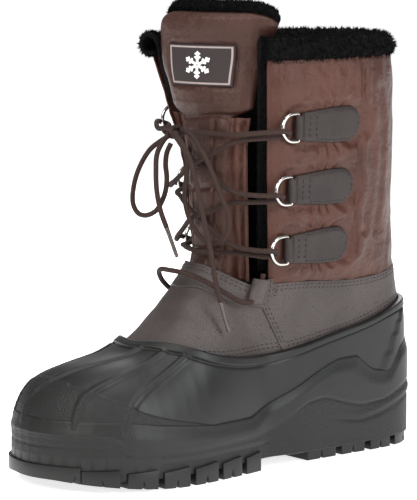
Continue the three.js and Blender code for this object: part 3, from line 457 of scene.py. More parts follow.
for name, points in bow_lines.items():
    path = lace_path(points)
    cord_points, cord_faces, cord_uv = tube(path, LACE / 2)
    piece = build(name, cord_points, cord_faces, lace_material, uv=cord_uv, replaced=[name])
    ends_in = []
    if name.startswith("lace_end"):
        way = (path[-1] - path[-2]) / np.linalg.norm(path[-1] - path[-2])
        run = np.array([CLEAR, 1.0, 2.2, 6, 11, 16, 20.5, 21.6, 22.2])
        widths = np.array([1.66, 1.72, 1.6, 1.5, 1.45, 1.42, 1.38, 1.2, 0.7])
        tip_points, tip_faces, tip_uv_map = tube(path[-1] + run[:, None] * way, widths, 14)
        tip_name = name.replace("lace_end", "aglet")
        ends_in = [build(tip_name, tip_points, tip_faces, tip_material, uv=tip_uv_map,
            replaced=[tip_name])]
    cords[name] = piece

# ---- The bow knot: turns of the same lace pulled round each other ----

turns = []
for centre, axis, wide, start, sweep in (
    ((-12.0, -27.6, 234.2), (0.95, 0.1, 0.3), 3.5, -0.4, 5.9),
    ((-14.8, -27.0, 233.6), (0.85, -0.2, -0.45), 3.3, 0.8, 5.6),
    ((-9.4, -26.6, 235.2), (0.8, 0.15, 0.6), 3.0, 2.0, 5.2),
):
    axis = np.array(axis) / np.linalg.norm(axis)
    first = np.cross(axis, (0, 1.0, 0))
    first /= np.linalg.norm(first)
    second = np.cross(axis, first)
    angles = start + np.linspace(0, sweep, 24)
    ring = np.array(centre) + wide * (np.outer(np.cos(angles), first) + np.outer(np.sin(angles), second))
    turns.append(tube(ring + np.outer(np.linspace(-0.9, 0.9, 24), axis), LACE / 2, 12))
core = lace_path([(-19, -26.5, 232), (-16, -25, 234), (-12.5, -24.2, 235), (-9, -25, 235.5),
    (-5.5, -27.2, 236.2)])
turns.append(tube(core, LACE / 2 * 1.05, 12))
knot_points, knot_faces, knot_uv = joined(turns)
build("lace_knot", knot_points, knot_faces, lace_material, uv=knot_uv, replaced=["lace_knot"])


# ---- The last: the foot blended into a leg that every layer of the boot is laid over ----

OUTLINE = even_spline(
    [
        (0, 161), (28, 154), (42, 129), (44, 80), (46, 25), (55, -25), (60, -70), (54, -114), (32, -146),
        (-6, -161),
        (-41, -151), (-57, -116), (-59, -68), (-50, -25), (-41, 25), (-39, 80), (-40, 129), (-27, 154),
    ],
    4,
    closed=True,
)
FORM_BASE = 30
SHELL_GAP = 1.4
SHELL_WALL = 2.0
SHELL_OUT = SHELL_GAP + SHELL_WALL
CUP_GAP = 1.0
CUP_WALL = 2.0
CUP_OUT = SHELL_OUT + CUP_GAP + CUP_WALL
instep = smooth_keys([
    (-156, 72), (-138, 76), (-115, 78), (-90, 82), (-72, 89), (-58, 100), (-44, 116), (-30, 132),
    (-15, 147),
    (5, 160), (25, 172), (70, 182), (150, 170),
])
half_width = smooth_keys([(-150, 48), (-90, 52), (-60, 50), (0, 42), (60, 36), (150, 36)])
squareness = smooth_keys([(-150, 2.6), (-100, 2.4), (-50, 2.1), (0, 2.0), (60, 2.3), (150, 2.5)])


def inward(x, y):
    """Distance inside the sole's outline."""
    ends, starts = OUTLINE, np.roll(OUTLINE, 1, axis=0)
    nearest = np.full(x.shape, np.inf)
    inside = np.zeros(x.shape, bool)
    for (ax, ay), (bx, by) in zip(starts, ends):
        ex, ey = bx - ax, by - ay
        t = np.clip(((x - ax) * ex + (y - ay) * ey) / (ex * ex + ey * ey), 0, 1)
        nearest = np.minimum(nearest, np.hypot(x - ax - t * ex, y - ay - t * ey))
        if ey:
            inside ^= ((ay > y) != (by > y)) & (x < ax + (y - ay) / ey * ex)
    return np.where(inside, nearest, -nearest)


def foot(x, y, z):
    out = np.maximum(1 - (inward(x, y) - CUP_OUT) / half_width(y), 0)
    rise = np.maximum(z - FORM_BASE, 0) / (instep(y) - FORM_BASE)
    p = squareness(y)
    return ((out**p + rise**p) ** (1 / p) - 1) * half_width(y) * 0.9


# Plan of the leg at five heights, from the middle of the back over the lateral side and the front.
LEG_HEIGHTS = np.array([90, 150, 215, 290, 340.0])
LEG_PLANS = [
    [(0, 150), (28, 143), (38, 110), (41, 60), (40, 25), (20, -2), (0, -10), (-20, -2), (-40, 25),
    (-40, 60),
     (-37, 110), (-27, 143)],
    [(0, 142), (29, 135), (42, 105), (46, 60), (44, 18), (27, -7), (0, -13), (-26, -7), (-42, 14),
    (-45, 50),
     (-41, 100), (-27, 134)],
    [(2, 141), (32, 135), (48, 106), (52, 60), (48, 14), (28, -12), (-2, -21), (-32, -12), (-48, 10),
    (-51, 50),
     (-46, 102), (-28, 134)],
    [(4, 138), (34, 132), (52, 106), (57, 60), (51, 16), (28, -14), (-8, -36), (-44, -32), (-60, -12),
    (-58, 45),
     (-50, 100), (-30, 132)],
    [(4, 138), (36, 132), (54, 106), (60, 60), (54, 16), (30, -16), (-10, -42), (-48, -40), (-66, -18),
    (-62, 42),
     (-53, 100), (-32, 132)],
]
LEG_AXIS = 56
leg_angles = np.linspace(-math.pi, math.pi, 181)
leg_radii = []
for plan in LEG_PLANS:
    loop = even_spline(plan, 8, closed=True)
    angles, radii = np.arctan2(loop[:, 0], loop[:, 1] - LEG_AXIS), np.hypot(loop[:, 0], loop[:, 1]
        - LEG_AXIS)
    order = np.argsort(angles)
    leg_radii.append(np.interp(leg_angles, angles[order], radii[order], period=2 * math.pi))
leg_radii = np.array(leg_radii)


def leg_radius(angle, z):
    radii = np.array([np.interp(angle, leg_angles, r) for r in leg_radii])
    h = np.diff(LEG_HEIGHTS)[:, None]
    slope = np.diff(radii, axis=0) / h
    a, b = slope[:-1], slope[1:]
    flat = a * b <= 0
    tangent = np.vstack([slope[:1], np.where(flat, 0, 2 * a * b / np.where(flat, 1, a + b)), slope[-1:]])
    z = np.clip(z, LEG_HEIGHTS[0], LEG_HEIGHTS[-1])
    i = np.clip(np.searchsorted(LEG_HEIGHTS, z, side="right") - 1, 0, len(LEG_HEIGHTS) - 2)
    k = np.arange(len(angle))
    step = h[i, 0]
    t = (z - LEG_HEIGHTS[i]) / step
    return (
        (2 * t**3 - 3 * t * t + 1) * radii[i, k]
        + (t**3 - 2 * t * t + t) * step * tangent[i, k]
        + (3 * t * t - 2 * t**3) * radii[i + 1, k]
        + (t**3 - t * t) * step * tangent[i + 1, k]
    )


FORM_BLEND = 14


def last_distance(p):
    x, y, z = p.T
    leg = (np.hypot(x, y - LEG_AXIS) - leg_radius(np.arctan2(x, y - LEG_AXIS), z)) * 0.95
    low = z <= 200
    if low.any():
        a, b = foot(x[low], y[low], z[low]), leg[low]
        h = np.clip(0.5 + 0.5 * (b - a) / FORM_BLEND, 0, 1)
        leg[low] = b + (a - b) * h - FORM_BLEND * h * (1 - h)
    return leg


def last_slope(p):
    e = 0.5
    return np.stack([(last_distance(p + step) - last_distance(p - step)) / (2 * e) for step in np.eye(3)
        * e], axis=1)


def on_last(points, rounds=4):
    """Points moved onto the last, and its outward normals there; any grid shape in, the same out."""
    shape = np.shape(points)
    p = np.array(points, float).reshape(-1, 3)
    for _ in range(rounds):
        g = last_slope(p)
        p = p - (last_distance(p) / np.maximum((g * g).sum(1), 1e-6))[:, None] * g
    g = last_slope(p)
    return p.reshape(shape), (g / np.maximum(np.linalg.norm(g, axis=1), 1e-6)[:, None]).reshape(shape)


def footprint(angle, out):
    """Where the last's straight lower wall, moved out, stands in plan, by direction from under the foot."""
    centre = 10
    way = np.stack([np.sin(angle), np.cos(angle)], axis=1)
    low, high = np.zeros(len(angle)), np.full(len(angle), 190.0)
    for _ in range(16):
        middle = (low + high) / 2
        p = np.column_stack([middle * way[:, 0], centre + middle * way[:, 1],
            np.full(len(angle), FORM_BASE - 1.0)])
        inside = last_distance(p) < out * 0.9
        low, high = np.where(inside, middle, low), np.where(inside, high, middle)
    return np.column_stack([low * way[:, 0], centre + low * way[:, 1]])


def clouded(points, size, seed=0.0, octaves=2):
    """Smooth unevenness from -1 to 1 over points; size is its scale in millimetres."""
    flat = np.asarray(points, float).reshape(-1, 3) / size + seed
    value = np.array([noise.noise(Vector(p)) for p in flat.tolist()])
    if octaves > 1:
        value += 0.5 * np.array([noise.noise(Vector(p)) for p in (flat * 2.1 + 7.3).tolist()])
    return value.reshape(np.shape(points)[:-1])


def near_line(points, line):
    """Distance from each point to a polyline."""
    flat = np.asarray(points, float).reshape(-1, 3)
    nearest = np.full(len(flat), np.inf)
    for a, b in zip(line[:-1], line[1:]):
        e = b - a
        t = np.clip(((flat - a) @ e) / (e @ e), 0, 1)
        nearest = np.minimum(nearest, np.linalg.norm(flat - a - t[:, None] * e, axis=1))
    return nearest.reshape(np.shape(points)[:-1])


def sheet_solid(outer, inner, closed=False, rim=0.35):
    """Points, faces and UV of a skin with thickness, from its outer and inner grids (rows, columns, 3).
    Its cut edges are rounded: rim is how far they bulge, as a share of the thickness."""
    rows, cols = outer.shape[:2]
    points = [outer.reshape(-1, 3), inner.reshape(-1, 3)]
    total = rows * cols
    faces = []
    spans = cols if closed else cols - 1
    j, i = np.meshgrid(np.arange(rows - 1), np.arange(spans), indexing="ij")
    a = (j * cols + i).ravel()
    b = (j * cols + (i + 1) % cols).ravel()
    faces.append(np.column_stack([a, b, b + cols, a + cols]))
    faces.append(np.column_stack([a, a + cols, b + cols, b]) + total)
    grids = np.arange(total).reshape(rows, cols)
    edges = [(grids[0], grids[1], closed), (grids[-1], grids[-2], closed)]
    if not closed:
        edges += [(grids[:, 0], grids[:, 1], False), (grids[:, -1], grids[:, -2], False)]
    flat_out, flat_in = points
    start = 2 * total
    uv_extra = []
    uv_run_u = np.concatenate([[0], np.cumsum(np.linalg.norm(np.diff(outer[rows // 2], axis=0), axis=1))])
    uv_run_v = np.concatenate([[0], np.cumsum(np.linalg.norm(np.diff(outer[:, cols // 2], axis=0),
        axis=1))])
    uv = np.stack(np.meshgrid(uv_run_u, uv_run_v), axis=-1).reshape(-1, 2)
    for edge, inside, loop in edges:
        o, n = flat_out[edge], flat_in[edge]
        way = o - flat_out[inside]
        way /= np.maximum(np.linalg.norm(way, axis=1), 1e-6)[:, None]
        thick = np.linalg.norm(o - n, axis=1)[:, None]
        middle = (o + n) / 2 + way * thick * rim
        points.append(middle)
        uv_extra.append(uv[edge])
        ids = np.arange(start, start + len(edge))
        start += len(edge)
        k = np.arange(len(edge) if loop else len(edge) - 1)
        k2 = (k + 1) % len(edge)
        faces.append(np.column_stack([edge[k], edge[k2], ids[k2], ids[k]]))
        faces.append(np.column_stack([ids[k], ids[k2], edge[k2] + total, edge[k] + total]))
    made = np.vstack(points)
    if not closed:
        # The rounded rims meet at the four corners in small triangles.
        size = {"low": 2 * total, "high": 2 * total + cols, "left": 2 * total + 2 * cols, "right": 2
            * total + 2 * cols + rows}
        for corner, one, two in (
            (grids[0, 0], size["low"], size["left"]),
            (grids[0, -1], size["low"] + cols - 1, size["right"]),
            (grids[-1, 0], size["high"], size["left"] + rows - 1),
            (grids[-1, -1], size["high"] + cols - 1, size["right"] + rows - 1),
        ):
            faces.append(np.array([[corner, one, two, corner]]))
            faces.append(np.array([[corner + total, two, one, corner + total]]))
    uv = np.vstack([uv, uv] + uv_extra)
    listed = [tuple(dict.fromkeys(face)) for face in np.vstack(faces).tolist()]
    return made, listed, uv


# ---- Rubber shell: one moulding round the foot, with ribs over the toe and a rolled lip at its collar ----

COLLAR = [
    (0, 150, 107), (24, 146, 106), (38, 134, 103), (44, 105, 95), (47, 70, 89), (47, 35, 83), (46, 8, 80),
    (48, -20, 82), (47, -42, 87), (36, -60, 94), (20, -70, 97), (0, -76, 97), (-20, -72, 97),
    (-36, -62, 94),
    (-47, -44, 87), (-48, -20, 82), (-44, 8, 80), (-44, 35, 83), (-43, 70, 89), (-42, 105, 95),
    (-36, 134, 103),
    (-22, 146, 106),
]
collar_line = even_spline(COLLAR + COLLAR[:1], 4)
SHOULDER = 38
LIP_PROUD = 1.8
LIP_WIDE = 6.2
ROUND = 420

rubber_marks = "grained"
rubber = new_material("moulded_rubber", (0.012, 0.012, 0.012), 0.5, Specular_IOR_Level=0.34)
tree = rubber.node_tree
place = object_place(tree)
cloud = place_group(tree, clouds, Place=place, Size=14.0, Fine=1400.0)
grain_mark = node(tree, "ShaderNodeAttribute", {"attribute_name": rubber_marks}).outputs["Fac"]
base = mixed(tree, ramp(tree, cloud.outputs["Patch"], 0.3, 0.75), (0.0055, 0.0058, 0.0056),
    (0.0125, 0.0130, 0.0122))
feed(tree, mixed(tree, sums(tree, "MULTIPLY", grain_mark, 0.35), base, (0.0045, 0.0048, 0.0046)),
    "Base Color")
pebble = node(tree, "ShaderNodeTexVoronoi", {"feature": "SMOOTH_F1"}, Vector=place, Scale=950.0,
    Smoothness=0.6).outputs["Distance"]
rough = sums(tree, "ADD", sums(tree, "MULTIPLY", cloud.outputs["Patch"], 0.2),
    sums(tree, "MULTIPLY", grain_mark, 0.13))
feed(tree, sums(tree, "ADD", rough, 0.3), "Roughness")
fine = sums(tree, "MULTIPLY", cloud.outputs["Speckle"], 0.35)
bumped(tree, sums(tree, "ADD", sums(tree, "MULTIPLY", pebble, sums(tree, "MULTIPLY", grain_mark, 1.6)),
    fine), 0.45, 0.0005)

BODY_ROWS = 84
SHELL_BASE = 26.0
TOE_CROWDING = 0.5
# Columns crowd together over the toe, where the ribs are.
angles = 2 * math.pi * np.arange(ROUND) / ROUND
angles += TOE_CROWDING * np.sin(angles)
shell_foot = footprint(angles, SHELL_OUT)
shell_top = along_line(collar_line, angles / (2 * math.pi))
from_foot = np.column_stack([shell_foot, np.full(ROUND, float(SHOULDER))])
lip_rows = np.array([0, 0.35, 0.8, 1.4, 2.2, 3.2, 4.2, 5.2, 5.8, 6.2, 6.5, 6.9, 7.5, 8.4, 9.6, 11.0])
climb = np.linalg.norm(shell_top - from_foot, axis=1)
shares = [np.full(ROUND, k / BODY_ROWS) for k in range(BODY_ROWS)]
body_rows = 1 - (lip_rows[-1] + 1.5) / climb
grid_shares = np.array([s * body_rows for s in shares] + [1 - d / climb for d in lip_rows[::-1]])
grid = from_foot + grid_shares[:, :, None] * (shell_top - from_foot)
surface, normal = on_last(grid)
below_top = (1 - grid_shares) * climb
lip = LIP_PROUD * (1 - smooth_step(below_top, LIP_WIDE - 0.3, LIP_WIDE + 0.5))
lip -= 1.1 * np.clip(1 - below_top / 1.2, 0, 1) ** 2
groove_under = -0.7 * np.exp(-(((below_top - LIP_WIDE - 1.0) / 0.8) ** 2))
x, y, z = surface[..., 0], surface[..., 1], surface[..., 2]

foot_middle = smooth_keys([(-157, -6), (-116, -1.5), (-70, 0), (100, 2)])
RIBS = [
    [(11, -77, 95), (9, -95, 90), (3, -118, 82), (-6, -138, 73), (-14, -148, 67), (-17, -154, 56),
    (-17, -157, 44)],
    [(30, -72, 92), (31, -105, 79), (28, -133, 68), (27, -141, 61), (27, -146, 44)],
    [(42, -60, 88), (45, -91, 72), (48, -110, 59), (49, -119, 42)],
]


def other_side(line):
    """A line of the lateral side carried to the medial side."""
    line = np.array(line, float)
    line[:, 0] = 2 * foot_middle(line[:, 1]) - line[:, 0]
    return line


relief = np.zeros(x.shape)
for line in [RIBS[0], RIBS[1], RIBS[2], other_side(RIBS[1]), other_side(RIBS[2])]:
    line = on_last(even_spline(line, 5))[0]
    away = near_line(surface, line)
    relief = np.maximum(relief, 1.5 * (1 - smooth_step(away, 1.1, 3.6)))
    relief -= 0.25 * np.exp(-(((away - 4.4) / 1.1) ** 2))
bumper_height = smooth_keys([(-140, 74), (-133, 66), (-115, 57.5), (-104, 52), (-89, 47), (-53, 39),
    (-30, 30)])
grained = smooth_step(bumper_height(y) - z, -0.2, 0.5) * smooth_step(-y, 40, 60)
relief += 0.55 * grained
# The heel counter is a second thickness that rises behind the ankle and ends in a kick spur.
counter = smooth_step(y - (118 + (z - 58) * 0.62), -0.3, 0.7) * (1
    - smooth_step(z, 98, 99.5)) * smooth_step(z, 50, 55)
relief += 1.1 * counter
spur = np.clip(1 - (np.abs(x) / 15) ** 2.5, 0, 1) * smooth_step(z, 66, 71) * (1
    - smooth_step(z, 88, 94)) * (y > 120)
relief += 4.4 * np.sqrt(spur)
relief += 0.12 * clouded(surface, 26, 3.1)
relief *= 1 - smooth_step(lip, 0.1, 0.8)
outer = surface + normal * (SHELL_OUT + lip + groove_under + relief)[..., None]
inner = surface + normal * SHELL_GAP
base_row = np.dstack([shell_foot[None, :, 0], shell_foot[None, :, 1], np.full((1, ROUND), SHELL_BASE)])
outer = np.concatenate([base_row, outer])
inner_foot = footprint(angles, SHELL_GAP)
inner = np.concatenate([np.dstack([inner_foot[None, :, 0], inner_foot[None, :, 1], np.full((1, ROUND),
    SHELL_BASE)]), inner])
shell_points, shell_faces, shell_uv = sheet_solid(outer, inner, closed=True)
marks = np.zeros(len(shell_points))
marks[ROUND : ROUND + grained.size] = grained.ravel()
build("rubber_shell", shell_points, shell_faces, rubber, uv=shell_uv,
      marks={rubber_marks: marks}, replaced=["rubber_shell"])


# ---- Sole unit: a moulded cup that wraps the shell, standing on a lugged tread ----

TREAD_DEPTH = 8
sole_rubber = rubber.copy()
sole_rubber.name = "sole_rubber"
cup_top = smooth_keys([
    (-161, 47), (-130, 47), (-95, 44), (-55, 40), (-20, 36), (15, 51), (50, 71), (64, 71), (79, 66),
    (100, 59),
    (120, 57), (132, 72), (161, 80),
])
cup_foot = footprint(angles, CUP_OUT)
low_rows = np.array([8, 8.5, 9.3] + list(np.arange(10.5, SHOULDER, 1.1)))
wall_low = np.stack([np.column_stack([cup_foot, np.full(ROUND, z_row)]) for z_row in low_rows])
start = np.column_stack([cup_foot, np.full(ROUND, float(SHOULDER))])
edge_share = np.clip((cup_top(cup_foot[:, 1]) - SHOULDER) / (shell_top[:, 2] - SHOULDER), 0.02, 0.8)
high_share = np.concatenate([np.linspace(0, 0.94, 30), [0.965, 0.985, 0.995, 1.0]])
wall_high = start + (edge_share * high_share[:, None])[:, :, None] * (shell_top - start)
surface, normal = on_last(np.concatenate([wall_low, wall_high]))
x, y, z = surface[..., 0], surface[..., 1], surface[..., 2]
wall_top = wall_high[-1, :, 2]
to_edge = wall_top[None, :] - np.concatenate([wall_low, wall_high])[..., 2]
step_line = smooth_keys([
    (-165, 37), (-128, 37.5), (-121, 34), (-116, 27), (-109, 24.5), (-55, 24), (-8, 25), (23, 33),
    (44, 42.5),
    (56, 44), (81, 38), (95, 35), (115, 35.5), (140, 43), (165, 50),
])
heel_line = smooth_keys([(60, 30), (70, 28), (95, 24), (116, 27), (140, 34), (165, 41)])
low_line = smooth_keys([(-165, 30), (-128, 31), (-119, 27), (-112, 19.5), (-55, 19), (0, 19), (60, 20)])
out = SHELL_OUT + 1.3 + 1.7 * smooth_step(to_edge, 0.5, 11)
out -= 1.1 * (1 - np.clip(to_edge / 1.3, 0, 1)) ** 2
fore = 1 - smooth_step(y, 10, 50)
out -= (0.25 + 0.85 * fore) * smooth_step(step_line(y) - z, -0.4, 1.8)
out -= 0.9 * np.exp(-(((step_line(y) - z + 0.3) / 0.75) ** 2)) * (0.45 + 0.75 * smooth_step(y, 0, 60))
out -= 0.7 * np.exp(-(((low_line(y) - z) / 0.8) ** 2)) * (1 - smooth_step(y, -20, 40))
out -= 1.25 * np.exp(-(((heel_line(y) - z) / 1.0) ** 2)) * smooth_step(y, 62, 88)
out += 0.9 * np.exp(-(((heel_line(y) - z + 4.5) / 3.0) ** 2)) * smooth_step(y, 70, 110)
out += 0.1 * clouded(surface, 30, 5.5)
outer = surface + normal * out[..., None]
inner = surface + normal * (SHELL_OUT + 0.25)
cup_points, cup_faces, cup_uv = sheet_solid(outer, inner, closed=True)
cup_grain = np.zeros(len(cup_points))
cup_grain[: x.size] = (0.35 + 0.65 * smooth_step(step_line(y) - z, -0.5, 1.0)).ravel()
build("outsole", cup_points, cup_faces, sole_rubber, uv=cup_uv,
    marks={rubber_marks: cup_grain},
      replaced=["outsole"])

# The tread: a plate under the cup, and lugs whose pads run a little way up its side.
edge_outline = even_spline(OUTLINE, 4, closed=True)
edge_way = np.roll(edge_outline, -1, axis=0) - np.roll(edge_outline, 1, axis=0)
edge_way /= np.linalg.norm(edge_way, axis=1)[:, None]
edge_out = np.column_stack([edge_way[:, 1], -edge_way[:, 0]])
if ((edge_outline + edge_out) ** 2).sum() < (edge_outline**2).sum():
    edge_out = -edge_out
pad_outline = edge_outline + 0.75 * edge_out
toe_start = -75


def toe_lift(y_at):
    return 9 * (np.clip((toe_start - y_at) / 86, 0, 1)) ** 1.6


def clipped(outline, axis, limit, keep):
    """The part of a plan outline on one side of a line; keep is 1 for above it and -1 for below."""
    kept = []
    for a, b in zip(outline, np.roll(outline, -1, axis=0)):
        in_a, in_b = keep * (a[axis] - limit) >= 0, keep * (b[axis] - limit) >= 0
        if in_a:
            kept.append(a)
        if in_a != in_b:
            kept.append(a + (b - a) * (limit - a[axis]) / (b[axis] - a[axis]))
    return np.array(kept)


def block(outline, foot_z, top_z):
    """A solid over a plan outline; foot_z and top_z give its heights at each point."""
    count = len(outline)
    low = np.column_stack([outline, foot_z(outline[:, 1])])
    high = np.column_stack([outline, top_z(outline[:, 1])])
    ring = [(k, (k + 1) % count, (k + 1) % count + count, k + count) for k in range(count)]
    return np.vstack([low, high]), [tuple(range(count))[::-1], tuple(range(count, 2 * count))] + ring, None


blocks = [block(edge_outline - 1.2 * edge_out, lambda y_at: np.full(len(y_at), TREAD_DEPTH - 0.1)
    + toe_lift(y_at) * 0.35,
                lambda y_at: np.full(len(y_at), 24.0))]
FORE_LUGS = [(-145, -124.5), (-119.5, -98.5), (-93.5, -72.5), (-67.5, -46.5), (-41.5, -22.5), (-17.5, -2)]
HEEL_LUGS = [(79, 101), (107, 127), (133, 144.5)]
lug_plans = [(-170, -145.6, 0), (46, 73, 0), (145, 170, 0)]
lug_plans += [(a, b, side * 13) for a, b in FORE_LUGS for side in (1, -1)]
lug_plans += [(a, b, side * 11) for a, b in HEEL_LUGS for side in (1, -1)]
notches = []
for low, high, inner_x in lug_plans:
    plan = clipped(clipped(pad_outline, 1, low, 1), 1, high, -1)
    if inner_x:
        plan = clipped(plan, 0, inner_x, 1 if inner_x > 0 else -1)
    blocks.append(block(plan, toe_lift, lambda y_at, a=low, b=high: 11.2 + 2.4 * (y_at - a) / (b - a) + 0.6
        * toe_lift(y_at)))
    middle = (max(low, -150) + min(high, 150)) / 2
    if high - low < 18:
        continue
    for side in (1, -1):
        if inner_x and side * inner_x < 0:
            continue
        edge_x = (plan[:, 0] * side).max() * side
        rise = float(toe_lift(np.array([middle]))[0])
        tip = np.array([[edge_x - side * 7, middle - 2.0], [edge_x + side * 4, middle - 2.6],
            [edge_x + side * 4, middle + 2.6], [edge_x - side * 7, middle + 2.0]])
        low_ring = np.column_stack([tip, np.full(4, rise - 3.0)])
        top_line = np.array([[edge_x - side * 7, middle, rise + 4.5],
            [edge_x + side * 4, middle, rise + 7.2]])
        notches.append((np.vstack([low_ring, top_line]),
            [(0, 1, 2, 3), (0, 4, 5, 1), (1, 5, 2), (2, 5, 4, 3), (3, 4, 0)], None))
tread_points, tread_faces, _ = joined(blocks[1:])
tread = build("tread_lugs", tread_points, tread_faces, sole_rubber)
notch_points, notch_faces, _ = joined(notches)
cutter = build("notch_cutter", notch_points, notch_faces, sole_rubber)
bpy.ops.object.select_all(action="DESELECT")
bpy.context.view_layer.objects.active = tread
cut = tread.modifiers.new("notches", "BOOLEAN")
cut.operation, cut.object, cut.solver = "DIFFERENCE", cutter, "EXACT"
bpy.ops.object.modifier_apply(modifier=cut.name)
bpy.data.objects.remove(cutter)
soften = tread.modifiers.new("soft_edges", "BEVEL")
soften.width, soften.segments = 0.0004, 2
soften.limit_method, soften.angle_limit = "ANGLE", math.radians(40)
bpy.ops.object.modifier_apply(modifier=soften.name)
tread.data.set_sharp_from_angle(angle=math.radians(50))
plate_points, plate_faces, _ = blocks[0]
build("tread_plate", plate_points, plate_faces, sole_rubber, sharp=40)


# ---- Stitching: every seam's thread is a row of short stitches sunk in the skin ----

thread = new_material("seam_thread", (0.008, 0.006, 0.006), 0.7)
tree = thread.node_tree
twist = node(tree, "ShaderNodeTexNoise", None, Vector=object_place(tree), Scale=2600.0)
feed(tree, mixed(tree, twist.outputs["Fac"], (0.004, 0.003, 0.003), (0.028, 0.02, 0.019)), "Base Color")
bumped(tree, twist.outputs["Fac"], 0.4, 0.0003)


def stitches(path, normals, pitch=3.7, long=2.05, wide=0.85, lift=0.0):
    """A row of stitches along a path over a surface with those normals, as one shape."""
    run = np.concatenate([[0], np.cumsum(np.linalg.norm(np.diff(path, axis=0), axis=1))])
    count = max(2, int(run[-1] / pitch))
    centres = (np.arange(count) + 0.5) * run[-1] / count
    shapes = []
    turn = 2 * math.pi * np.arange(6) / 6
    ends = np.array([-0.5, -0.3, 0.3, 0.5])
    girth = np.array([0.3, 1.0, 1.0, 0.3])
    for centre in centres:
        at = np.array([np.interp(centre, run, path[:, k]) for k in range(3)])
        ahead = np.array([np.interp(centre + 0.8, run, path[:, k]) for k in range(3)])
        behind = np.array([np.interp(centre - 0.8, run, path[:, k]) for k in range(3)])
        up = np.array([np.interp(centre, run, normals[:, k]) for k in range(3)])
        way = (ahead - behind) / max(np.linalg.norm(ahead - behind), 1e-6)
        up = up - way * (up @ way)
        up /= np.linalg.norm(up)
        side = np.cross(way, up)
        rings = [at + lift * up + way * long * e + g * wide / 2
            * (np.outer(np.cos(turn), side) + 0.8 * np.outer(np.sin(turn), up))
                 for e, g in zip(ends, girth)]
        points = np.vstack(rings)
        faces = [(r * 6 + k, r * 6 + (k + 1) % 6, r * 6 + 6 + (k + 1) % 6, r * 6 + 6 + k) for r in range(3)
            for k in range(6)]
        faces += [tuple(range(6))[::-1], tuple(range(18, 24))]
        shapes.append((points, faces, None))
    return joined(shapes)


def seam_at(surface, normal, edge, inset):
    """The line on a grid at a distance from one of its edges, with its normals."""
    s, n = (surface, normal) if edge in ("low", "high") else (surface.transpose(1, 0, 2),
        normal.transpose(1, 0, 2))
    if edge in ("high", "right"):
        s, n = s[::-1], n[::-1]
    run = np.concatenate([np.zeros((1, s.shape[1])),
        np.cumsum(np.linalg.norm(np.diff(s, axis=0), axis=2), axis=0)])
    inset = np.broadcast_to(inset, s.shape[1])
    path = np.array([[np.interp(inset[i], run[:, i], s[:, i, k]) for k in range(3)]
        for i in range(s.shape[1])])
    way = np.array([[np.interp(inset[i], run[:, i], n[:, i, k]) for k in range(3)]
        for i in range(s.shape[1])])
    return path, way


def trimmed(seam, first, last):
    """The stretch of a seam between two shares of its length."""
    path, way = seam
    shares = np.linspace(first, last, len(path))
    return along_line(path, shares), along_line(way, shares)


# ---- Coated leather: a vamp over the instep, a band at the throat and a quarter on each side ----

LEATHER = 1.3
COLLAR_LAP = 8
HEEL_GAP = 0.4
leather = new_material("coated_leather", (0.13, 0.115, 0.108), 0.52, Specular_IOR_Level=0.34)
tree = leather.node_tree
place = object_place(tree)
cloud = place_group(tree, clouds, Place=place, Size=22.0, Fine=1100.0)
cells = node(tree, "ShaderNodeTexVoronoi", {"feature": "DISTANCE_TO_EDGE"}, Vector=place,
    Scale=720.0).outputs["Distance"]
creases = ramp(tree, cells, 0.0, 0.12)
base = mixed(tree, ramp(tree, cloud.outputs["Patch"], 0.3, 0.7), (0.046, 0.035, 0.033),
    (0.072, 0.056, 0.053))
# Painted shade: the colour darkens along the grain's crease lines, where its bump sinks.
feed(tree, mixed(tree, creases, (0.026, 0.021, 0.020), base), "Base Color")
feed(tree, sums(tree, "ADD", sums(tree, "MULTIPLY", cloud.outputs["Patch"], 0.18), 0.36), "Roughness")
bumped(tree, sums(tree, "ADD", creases, sums(tree, "MULTIPLY", cloud.outputs["Speckle"], 0.6)), 0.28,
    0.0003)


def panel_grid(rows, columns, layers):
    """A grid on the last between given rows of points, from the first row up to the last."""
    lines = [along_line(even_spline(row, 6), np.linspace(0, 1, columns)) for row in rows]
    grid = []
    for j in range(layers):
        at = min(j / (layers - 1) * (len(lines) - 1), len(lines) - 1 - 1e-9)
        k = int(at)
        grid.append(lines[k] + (lines[k + 1] - lines[k]) * (at - k))
    return on_last(np.array(grid))


def medial(points):
    return [(-p[0], p[1], p[2]) for p in points]


def both(half):
    return list(half) + medial(half[:-1])[::-1]


def lapped(points):
    return [(p[0], p[1], p[2] - COLLAR_LAP) for p in points]


def leather_panel(name, surface, normal, lift, replaced, wrinkle=0.25, seed=0.0):
    """A leather panel over a grid of the last, lifted by what lies under it; returns its outer skin."""
    uneven = wrinkle * clouded(surface, 17, seed)
    skin = surface + normal * (lift + uneven)[..., None]
    points, faces, uv = sheet_solid(skin, surface + normal * (lift - LEATHER + 0.2 * uneven)[..., None])
    build(name, points, faces, leather, uv=uv, replaced=replaced)
    return skin


vamp_rows = [
    both(lapped([(46.5, 42, 84), (46, 22, 83), (47, -20, 82), (46, -45, 85), (34, -68, 90)])
    + [(0, -90, 88)]),
    both([(42, 24, 114), (38.5, 3, 116.5), (37, -7, 120.5), (31, -23, 127), (17, -34, 134),
    (0, -38.5, 133)]),
]
seams = []
surface, normal = panel_grid(vamp_rows, 150, 46)
